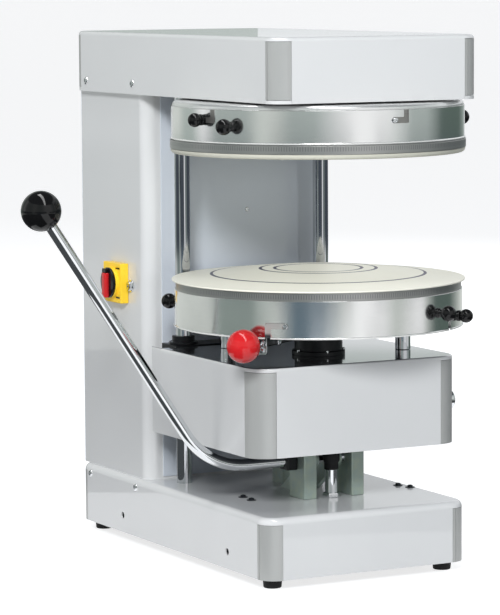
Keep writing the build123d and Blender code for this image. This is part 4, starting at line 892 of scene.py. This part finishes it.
hubLow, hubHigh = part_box("lower_hub")
hubLook = {**inMm(radius=37, foot=41, footHeight=7, bore=31.05, rounds=(0, 0.5, 1, 0.5, 0.5),
                  screw=(2.4, 2.6), screwPlace=38.6), "screws": 5, "screwAngle": 188.8}
footTop = hubLow.z + hubLook["footHeight"]
outline = ((hubLook["bore"], hubLow.z), (hubLook["foot"], hubLow.z), (hubLook["foot"], footTop),
           (hubLook["radius"], footTop), (hubLook["radius"], hubHigh.z), (hubLook["bore"], hubHigh.z))
addPiece(turned(outline, disc, rounds=hubLook["rounds"], steps=72, closed=True, bend=3), "lowerHub",
         blackAlloy, "carriage", "lower_hub")
bm = bmesh.new()
for count in range(hubLook["screws"]):
    angle = hubLook["screwAngle"] + count * 360 / hubLook["screws"]
    domeScrew(bm, atDrum(hubLook["screwPlace"], angle, footTop), upright, *hubLook["screw"])
addPiece(bm, "hubScrews", brightSteel, "carriage")

# screws and nuts are (radius, height); the side nut's place is (distance from the spindle, height)
lockLook = {**inMm(rod=5, rodRoot=1, rodEnd=10, bore=37.3, collar=46, half=8, collarRounds=(0, 1, 1),
                   ballRadius=25, barHalf=9, barRise=7, barReach=188, barRoot=3, barRound=2, armEdge=0.8,
                   plate=3, plateHalf=8, plateDrop=19, plateGap=0.1, plateRounds=(4, 4, 1, 1),
                   clampEdge=0.4, nut=(8.5, 7), bolt=(5, 3.5), boltDrop=12, sideNut=(6.5, 5),
                   sideNutPlace=(158, -2), ballNut=(8, 5), ballNutBack=29.5), "angle": 214.6}
lockCentre = middle("lock_ball")
lockZ = lockCentre.z
lockReach = (lockCentre - disc - up(lockZ)).length
lockOut = outward(lockLook["angle"])
lockSide = sideOf(lockOut)
half = lockLook["half"]
reach = lockLook["barReach"]


def atLock(radius, rise=0.0):
    return atDrum(radius, lockLook["angle"], lockZ + rise)


bm = turned(oblong(lockLook["bore"], lockLook["collar"], lockZ - half, lockZ + half), disc,
            rounds=lockLook["collarRounds"], steps=72, closed=True, bend=3)
root = lockLook["collar"] - lockLook["barRoot"]
board(bm, atLock(root), lockSide, lockLook["barHalf"], -lockLook["barRise"], lockLook["barRise"],
      lockOut * (reach - root), (lockLook["barRound"],) * 4)
addPiece(bm, "lockArm", blackAlloy, "lock_lever", "lock_arm", edge=lockLook["armEdge"])
outline = oblong(0, lockLook["rod"], reach - lockLook["rodRoot"], lockReach - lockLook["rodEnd"])
addPiece(turned(outline, disc + up(lockZ), lockOut, steps=32), "lockRod", chrome, "lock_lever")
bm = bmesh.new()
start = atLock(reach + lockLook["plateGap"])
clamp = start + lockOut * lockLook["plate"]
board(bm, start, lockSide, lockLook["plateHalf"], -lockLook["plateDrop"], half, lockOut * lockLook["plate"],
      lockLook["plateRounds"], 5)
hexNut(bm, clamp, lockOut, *lockLook["nut"])
hexNut(bm, clamp - up(lockLook["boltDrop"]), lockOut, *lockLook["bolt"])
hexNut(bm, atLock(*lockLook["sideNutPlace"]) + lockSide * lockLook["barHalf"], lockSide,
       *lockLook["sideNut"])
hexNut(bm, atLock(lockReach - lockLook["ballNutBack"]), lockOut, *lockLook["ballNut"])
addPiece(bm, "lockClamp", brightSteel, "lock_lever", edge=lockLook["clampEdge"])
bm = bmesh.new()
ball(bm, lockCentre, lockLook["ballRadius"], 64)
addPiece(bm, "lockBall", redGloss, "lock_lever", "lock_ball")
print("lock lever fitted")

shaft = middle("lever_shaft")
leverBall = middle("lever_ball")
leverHubLow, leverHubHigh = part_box("lever_hub")
leverLook = {**inMm(rod=9, bend=120, ballRadius=29.97, ballGap=4, socket=8, hubEdge=2, shaft=7,
                    shaftRounds=(0, 0, 0.8), collar=12, collarGap=0.05, collarRounds=(0, 0.8, 0.8),
                    setScrew=(2.4, 1.5), setScrewSink=1), "lean": math.radians(34)}
lean = leverLook["lean"]


def ringOf(bm, geometry):
    verts = vertsOf(geometry)
    return verts, [edge for edge in bm.edges if edge.verts[0] in verts and edge.verts[1] in verts]


def drawTube(bm, geometry, way):
    grown = vertsOf(bmesh.ops.extrude_edge_only(bm, edges=ringOf(bm, geometry)[1])["geom"])
    bmesh.ops.translate(bm, vec=way, verts=grown)
    return grown


bm = bmesh.new()
rise = leverBall.z - shaft.z
bendTurn = math.pi / 2 - lean
tangent = leverLook["bend"] * math.tan(bendTurn / 2)
bendX = leverBall.x + rise * math.tan(lean) + tangent
start = Vector((leverHubLow.x + leverLook["socket"], shaft.y, shaft.z))
facing = Matrix.Translation(start) @ Matrix.Rotation(math.pi / 2, 4, "Y")
ringVerts = bmesh.ops.create_circle(bm, radius=leverLook["rod"], segments=40, matrix=facing)["verts"]
verts, edges = ringOf(bm, drawTube(bm, ringVerts, (bendX - start.x, 0, 0)))
bent = bmesh.ops.spin(bm, geom=verts + edges, cent=(bendX, shaft.y, shaft.z + leverLook["bend"]), axis=rear,
                      angle=bendTurn, steps=24)["geom_last"]
straight = rise / math.cos(lean) - tangent - leverLook["ballGap"]
drawTube(bm, bent, Vector((-math.sin(lean), 0, math.cos(lean))) * straight)
bmesh.ops.holes_fill(bm, edges=bm.edges[:])
addPiece(bm, "leverRod", chrome, "lever", "lever_rod")
bm = bmesh.new()
ball(bm, leverBall, leverLook["ballRadius"], 64)
addPiece(bm, "leverBall", blackGloss, "lever", "lever_ball")
bm = bmesh.new()
slab(bm, leverHubLow, leverHubHigh)
addPiece(bm, "leverHub", blackAlloy, "lever", "lever_hub", edge=leverLook["hubEdge"])
low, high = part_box("lever_shaft")
bm = turned(oblong(0, leverLook["shaft"], 0, high.x - low.x), (low.x, shaft.y, shaft.z), right,
            leverLook["shaftRounds"], steps=32, bend=3)
addPiece(bm, "leverShaft", chrome, "lever", "lever_shaft")
low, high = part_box("shaft_collar")
length = high.x - low.x
bm = turned(oblong(leverLook["shaft"] + leverLook["collarGap"], leverLook["collar"], 0, length),
            (low.x, shaft.y, shaft.z), right, leverLook["collarRounds"], steps=40,
            closed=True, bend=3)
screwY = shaft.y - leverLook["collar"] + leverLook["setScrewSink"]
domeScrew(bm, (low.x + length / 2, screwY, shaft.z), front, *leverLook["setScrew"])
addPiece(bm, "shaftCollar", brightSteel, "lever", "shaft_collar")

blockLow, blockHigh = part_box("lift_blocks")
blockLook = inMm(width=22, edge=1.5, bush=11, bushGap=0.1, bushProud=0.2, bushRounds=(0, 0.2, 0.2))
width = blockLook["width"]
bm = bmesh.new()
slab(bm, blockLow, (blockLow.x + width, blockHigh.y, blockHigh.z))
slab(bm, (blockHigh.x - width, blockLow.y, blockLow.z), blockHigh)
addPiece(bm, "liftBlocks", zinc, "frame", "lift_blocks", edge=blockLook["edge"])
bm = bmesh.new()
half = width / 2 + blockLook["bushProud"]
for x in (blockLow.x + width / 2, blockHigh.x - width / 2):
    turn(bm, oblong(leverLook["shaft"] + blockLook["bushGap"], blockLook["bush"], -half, half),
         (x, shaft.y, shaft.z), right, blockLook["bushRounds"], steps=40, closed=True, bend=2)
addPiece(bm, "blockBushes", brightSteel, "frame")

stop = middle("stop_post")
rods("stopPost", chrome, "frame", "stop_post", rodLook["stop"], ((stop.x, stop.y),), rodLook["stopChamfer"])
# the groove round the buffer is in shares of its height
bufferLook = {**inMm(foot=11, footHeight=10, body=13, bodyFoot=14, waist=11.5, nut=(14, 7),
                     rounds=(0, 1, 1, 1, 1, 1.5, 1, 2)), "groove": (0.55, 0.62, 0.7)}
low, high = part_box("stop_buffer")
length = high.z - low.z
foot = bufferLook["foot"]
wide = bufferLook["body"]
grooveLow, grooveMid, grooveHigh = [length * share for share in bufferLook["groove"]]
outline = ((0, 0), (foot, 0), (foot, bufferLook["footHeight"]), (wide, bufferLook["bodyFoot"]),
           (wide, grooveLow), (bufferLook["waist"], grooveMid), (wide, grooveHigh), (wide, length),
           (0, length))
addPiece(turned(outline, (stop.x, stop.y, low.z), rounds=bufferLook["rounds"], steps=40, bend=3),
         "stopBuffer", blackRubber, "frame", "stop_buffer")
bm = bmesh.new()
hexNut(bm, (stop.x, stop.y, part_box("stop_post")[0].z), upright, *bufferLook["nut"])
addPiece(bm, "stopNut", brightSteel, "frame")
print("lift built")

bushLow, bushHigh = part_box("guide_bushes")
bushLook = inMm(radius=17, bore=12.55, flange=23, neck=18, flangeHeight=4,
                rounds=(0, 0, 0, 0.4, 0.8, 0.5, 1))
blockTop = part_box("slide_block")[1].z
flangeTop = blockTop + bushLook["flangeHeight"]
outline = ((bushLook["bore"], bushLow.z), (bushLook["radius"], bushLow.z), (bushLook["radius"], blockTop),
           (bushLook["flange"], blockTop), (bushLook["flange"], flangeTop), (bushLook["neck"], flangeTop),
           (bushLook["neck"], bushHigh.z), (bushLook["bore"], bushHigh.z))
bm = bmesh.new()
for x, y in barPlaces:
    turn(bm, outline, (x, y, 0), rounds=bushLook["rounds"], steps=48, closed=True, bend=3)
addPiece(bm, "guideBushes", blackAlloy, "carriage", "guide_bushes")

switchLow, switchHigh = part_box("switch_plate")
switchMid = middle("switch_plate")
# dashes are the printed bars above and below the dial, let into slots in the plate
switchLook = inMm(edge=2, dial=25.5, collar=3.5, collarGap=0.1, collarRounds=(0, 0, 1.2), rotor=24.5,
                  rotorGap=0.3, rotorHeight=4, rotorRounds=(0, 0.5, 1.2), rotorEdge=0.8, grip=15,
                  gripHalf=24, gripDrop=8, gripRound=4, gripSink=0.5, gripEdge=1.6, tip=23, tipInset=1,
                  tipBack=1.5, tipGap=0.3, dashes=(-23.5, 23.5), dashEnds=(5, 20), dashHalf=1.2,
                  dashGap=0.1, slotDepths=(-2, 3), dashDepths=(0.5, 2.9))


def addDashes(bm, depths, gap):
    start, end = switchLook["dashEnds"]
    half = switchLook["dashHalf"] - gap
    for drop in switchLook["dashes"]:
        slab(bm, (switchLow.x + depths[0], switchLow.y + start + gap, switchMid.z + drop - half),
             (switchLow.x + depths[1], switchLow.y + end - gap, switchMid.z + drop + half))


bm = bmesh.new()
slab(bm, switchLow, switchHigh)
cutter = bmesh.new()
addDashes(cutter, switchLook["slotDepths"], 0)
addPiece(bm, "switchBox", yellowGloss, "frame", "switch_plate", edge=switchLook["edge"],
         smooth=60, cutter=cutter)
dialLow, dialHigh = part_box("switch_body")
dialFoot = (dialHigh.x, switchMid.y, switchMid.z)
length = dialHigh.x - dialLow.x
rim = switchLook["dial"] - switchLook["collar"]
bm = turned(oblong(0, rim, 0, length), dialFoot, left, steps=56)
addDashes(bm, switchLook["dashDepths"], switchLook["dashGap"])
addPiece(bm, "switchDial", blackGloss, "frame", "switch_body")
outline = oblong(rim + switchLook["collarGap"], switchLook["dial"], 0, length)
bm = turned(outline, dialFoot, left, switchLook["collarRounds"], steps=56, closed=True, bend=3)
addPiece(bm, "switchCollar", yellowGloss, "frame")
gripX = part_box("switch_handle")[0].x
rotorFoot = dialLow.x - switchLook["rotorGap"]
rotorFace = rotorFoot - switchLook["rotorHeight"]
gripTop = switchMid.z + switchLook["gripHalf"] - switchLook["gripDrop"]
half = switchLook["grip"] / 2
inset = switchLook["tipInset"]
bm = turned(oblong(0, switchLook["rotor"], 0, switchLook["rotorHeight"]),
            (rotorFoot, switchMid.y, switchMid.z), left, switchLook["rotorRounds"], steps=56, bend=3)
slab(bm, (gripX + switchLook["tipBack"], switchMid.y - half + inset, gripTop + switchLook["tipGap"]),
     (rotorFace + inset, switchMid.y + half - inset, switchMid.z + switchLook["tip"]))
addPiece(bm, "switchRotor", blackGloss, "switch_knob", edge=switchLook["rotorEdge"])
bm = bmesh.new()
slab(bm, (gripX, switchMid.y - half, switchMid.z - switchLook["gripHalf"]),
     (rotorFace + switchLook["gripSink"], switchMid.y + half, gripTop),
     (switchLook["gripRound"], 0, 0, switchLook["gripRound"]), 6)
addPiece(bm, "switchHandle", redGloss, "switch_knob", "switch_handle",
         edge=switchLook["gripEdge"])

# the outlines of these three start from the wall that the part stands on
doorLockLook = inMm(place=(143, 416), rounds=(0, 0, 0.8, 0.4, 0.8),
                    outline=((0, 0), (10, 0), (10, 2.4), (7.6, 2.8), (7.6, 7), (2.6, 7), (2.2, 4.5),
                             (0, 4.5)))
bm = turned(doorLockLook["outline"], (colLow.x, *doorLockLook["place"]), left, doorLockLook["rounds"],
            steps=40, bend=3)
addPiece(bm, "doorLock", chrome, "frame")
knobMid = middle("side_knob")
sideKnobLook = inMm(rounds=(0, 0, 0, 0.5, 0.5, 1, 2),
                    outline=((0, -8), (4, -8), (4, 0.3), (12, 0.3), (6.5, 8.3), (15, 8.3), (15, 24.3),
                             (0, 24.3)))
bm = turned(sideKnobLook["outline"], (carHigh.x, knobMid.y, knobMid.z), right, sideKnobLook["rounds"],
            steps=48, bend=3)
addPiece(bm, "sideKnob", chrome, "side_screw", "side_knob")
glandMid = middle("cable_gland")
glandFoot = (glandMid.x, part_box("cable_gland")[0].y, glandMid.z)
glandLook = inMm(nut=(11, 8), rounds=(0, 0, 2),
                 outline=((0, 7), (8.5, 7), (8.5, 20), (4, 20), (3.6, 15), (0, 15)))
bm = turned(glandLook["outline"], glandFoot, rear, glandLook["rounds"], steps=40, bend=3)
hexNut(bm, glandFoot, rear, *glandLook["nut"])
addPiece(bm, "cableGland", blackRubber, "frame", "cable_gland")

# painted shade: the carriage floor's dark cast paint stands in for the shade under the carriage; the other
# nodes here also take this dark paint
shownNodes = {"base_plate": castPaintAndShade, "head_floor": silverPaint, "bar_sockets": zinc,
              "motor_body": castPaintAndShade, "drive_belt": blackRubber, "spindle_housing": castPaintAndShade,
              "spindle_bearings": brightSteel, "carriage_floor": castPaintAndShade, "slide_block": blackAlloy,
              "lower_bearings": brightSteel, "lift_yoke": zinc, "crank": zinc, "crank_roller": brightSteel,
              "upper_backing": panUnderShade, "spindle": brightSteel, "spindle_pulley": panUnderShade,
              "lower_spindle": brightSteel, "motor_shaft": brightSteel, "motor_pulley": panUnderShade}
for node, finish in shownNodes.items():
    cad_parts[node].data.materials.clear()
    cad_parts[node].data.materials.append(finish.material)
print("inner nodes finished")

# flag arcs are (first bearing, last bearing, inner radius)
stageLook = {"floor": (190, 191, 192), "floorCloud": (186, 187, 188), "floorCloudSize": 2, "floorSize": 400,
             "floorGlow": 0.76, "floorRough": 0.8, "floorSpecular": 0.1, "sky": (238, 245, 255),
             "ambient": 0.23, "wall": 2.8, "wallHeight": 2.5, "opening": 62, "ceiling": (96, 101, 104),
             "flag": (74, 78, 80), "flagCloudSize": 3, "flagShade": 0.9,
             "flagArcs": ((275, 550, 0.7), (550, 596, 0.42)), "flagHeight": 1 * mm}


def stagePiece(bm, name, finish):
    piece = bpy.data.objects.new(name, bpy.data.meshes.new(name))
    bm.to_mesh(piece.data)
    bm.free()
    piece.data.materials.append(finish.material)
    bpy.context.scene.collection.objects.link(piece)
    return piece


bm = bmesh.new()
bmesh.ops.create_grid(bm, x_segments=1, y_segments=1, size=stageLook["floorSize"] / 2)
paleFloor = Finish("paleFloor", stageLook["floor"], roughness=stageLook["floorRough"],
                   specular=stageLook["floorSpecular"])
cloud = paleFloor.noise(stageLook["floorCloudSize"])
paleFloor.drive("Base Color", paleFloor.mix(cloud, stageLook["floor"], stageLook["floorCloud"]))
paleFloor.glow(paleFloor.mix(paleFloor.seen(), (0, 0, 0), (*[stageLook["floorGlow"]] * 3, 1)))
stagePiece(bm, "floor", paleFloor)

# a round studio wall that only reflections see; a card fades in, stays and fades out at these bearings
cardPapers = {"white": (255, 255, 255), "pale": (213, 217, 212), "silver": (178, 187, 183),
              "grey": (148, 160, 154), "slate": (102, 121, 133), "dark": (86, 101, 94),
              "coal": (76, 82, 90)}
upperCards = ((78, 90, 106, 120, "pale"), (132, 145, 147, 162, "white"), (188, 202, 212, 224, "pale"),
              (240, 264, 292, 314, "white"), (328, 346, 378, 404, "dark"))
lowerCards = ((150, 164, 192, 212, "grey"), (212, 226, 244, 262, "slate"), (256, 274, 290, 300, "white"),
              (302, 318, 324, 332, "white"), (326, 340, 362, 392, "dark"))
barCards = ((60, 62, 136, 150, "grey"), (192, 198, 205, 212, "silver"), (264, 270, 280, 287, "white"),
            (287, 297, 299, 312, "grey"))
# heights and bearings are (where it starts, where it is full)
wallLook = {"barRow": (0.21, 0.25), "upperRow": (0.48, 0.52), "behind": ((396, 406), (84, 76)),
            "behindTop": (0.69, 0.66), "behindTone": (236, 238, 240), "windowFoot": (0.7, 0.95),
            "windowSide": (325, 345), "windowTone": (245, 247, 250)}
cardPaper = Finish("cardPaper", (0, 0, 0), roughness=1.0)
fromOpening = cardPaper.around((0, 0))[1] - stageLook["opening"] / 360
bearing = fromOpening.maths("FRACT") * 360 + stageLook["opening"]
height = cardPaper.part("Z")


def cardRow(wallPaper, cards):
    colour = cardPapers[wallPaper]
    for begin, full, last, gone, paper in cards:
        shown = cardPaper.rise(bearing, begin, full) * cardPaper.rise(bearing, gone, last)
        colour = cardPaper.mix(shown, colour, cardPapers[paper])
    return colour


colour = cardPaper.mix(cardPaper.rise(height, *wallLook["barRow"]), cardRow("pale", lowerCards),
                       cardRow("coal", barCards))
colour = cardPaper.mix(cardPaper.rise(height, *wallLook["upperRow"]), colour, cardRow("silver", upperCards))
rightBehind, leftBehind = [cardPaper.rise(bearing, *side) for side in wallLook["behind"]]
behind = (rightBehind + leftBehind) * cardPaper.rise(height, *wallLook["behindTop"])
colour = cardPaper.mix(behind, colour, wallLook["behindTone"])
window = cardPaper.rise(height, *wallLook["windowFoot"]) * cardPaper.rise(bearing, *wallLook["windowSide"])
cardPaper.glow(cardPaper.mix(window, colour, wallLook["windowTone"]))


def makeFlag(name, colour):
    # dark paper that keeps light out of reflections
    flag = Finish(name, (0, 0, 0), roughness=1.0)
    darker = tuple(part * stageLook["flagShade"] for part in colour)
    flag.glow(flag.mix(flag.noise(stageLook["flagCloudSize"]), colour, darker))
    return flag


def sweep(bm, start, end, angle, steps, merge=False):
    # a line swung round the middle of the stage
    line = bm.edges.new([bm.verts.new(point) for point in (start, end)])
    bmesh.ops.spin(bm, geom=[line, *line.verts], cent=(0, 0, 0), axis=upright, angle=angle, steps=steps,
                   use_merge=merge)


bm = bmesh.new()
start = outward(stageLook["opening"]) * stageLook["wall"]
sweep(bm, start, start + up(stageLook["wallHeight"]), math.tau, 120, True)
cards = [stagePiece(bm, "studioWall", cardPaper)]
bm = bmesh.new()
bmesh.ops.create_circle(bm, cap_ends=True, radius=stageLook["wall"], segments=64,
                        matrix=Matrix.Translation((0, 0, stageLook["wallHeight"])))
cards.append(stagePiece(bm, "studioCeiling", makeFlag("ceilingFlag", stageLook["ceiling"])))
bm = bmesh.new()
for first, last, inner in stageLook["flagArcs"]:
    near, far = [outward(first) * radius + up(stageLook["flagHeight"])
                 for radius in (inner, stageLook["wall"])]
    sweep(bm, near, far, math.radians(last - first), 64)
cards.append(stagePiece(bm, "floorFlag", makeFlag("floorPaper", stageLook["flag"])))
for card in cards:
    card.visible_camera = False
    card.visible_diffuse = False
    card.visible_shadow = False

world = bpy.data.worlds.new("studio")
bpy.context.scene.world = world
world.use_nodes = True
sky = Nodes(world.node_tree)
soft = sky.add("ShaderNodeBackground", {}, {"Color": stageLook["sky"], "Strength": stageLook["ambient"]})
pale = sky.add("ShaderNodeBackground", {}, {"Color": (255, 255, 255), "Strength": 1.0})
sky.feed(world.node_tree.nodes["World Output"].inputs["Surface"],
         sky.add("ShaderNodeMixShader", {}, {0: sky.seen(), 1: soft, 2: pale}))

# place, aim, width, height, power, colour; the strip shows in reflections alone
lampLook = {"keyLight": ((-3.26, -4.28, 3.2), (0, -0.1, 0.4), 1.5, 1.2, 285, (0.965, 0.985, 1.0)),
            "leftLight": ((-4.0, 0.4, 0.6), (0, 0, 0.35), 1.6, 1.2, 18, (1.0, 0.99, 0.98)),
            "topLight": ((-1.13, -1.16, 4.28), (0, 0, 0.4), 1.0, 1.0, 32, (0.98, 0.99, 1.0)),
            "rearLight": ((4.2, 2.4, 1.9), (0, 0, 0.4), 1.8, 1.8, 150, (0.98, 0.99, 1.0)),
            "lowLight": ((0.4, -4.0, 0.95), (0, 0, 0.5), 0.45, 0.45, 14, (0.93, 0.965, 1.0)),
            "stripLight": ((-0.35, -0.95, 2.3), (-0.35, -0.95, 0), 0.35, 3.2, 30, (1, 1, 1), True)}


def softLight(name, place, aim, width, height, power, colour, glossOnly=False):
    lamp = bpy.data.lights.new(name, "AREA")
    lamp.shape = "RECTANGLE"
    lamp.size = width
    lamp.size_y = height
    lamp.energy = power
    lamp.color = colour
    holder = bpy.data.objects.new(name, lamp)
    holder.location = place
    holder.rotation_euler = (Vector(aim) - Vector(place)).to_track_quat("-Z", "Y").to_euler()
    holder.visible_camera = False
    holder.visible_diffuse = not glossOnly
    holder.visible_glossy = glossOnly
    bpy.context.scene.collection.objects.link(holder)


for name, look in lampLook.items():
    softLight(name, *look)

cameraLook = {"place": (-2.3495, -4.3608, 0.9165), "angles": (83.8798, 0.3381, -28.0666), "lens": 184.03,
              "sensor": 36, "farthest": 1000}
lens = bpy.data.cameras.new("photoCamera")
lens.lens = cameraLook["lens"]
lens.sensor_width = cameraLook["sensor"]
lens.clip_end = cameraLook["farthest"]
camera = bpy.data.objects.new("photoCamera", lens)
facing = Euler([math.radians(angle) for angle in cameraLook["angles"]])
camera.matrix_world = Matrix.LocRotScale(Vector(cameraLook["place"]), facing, None)
bpy.context.scene.collection.objects.link(camera)
bpy.context.scene.camera = camera
bpy.context.scene.view_settings.view_transform = "Standard"

print("stage lit")
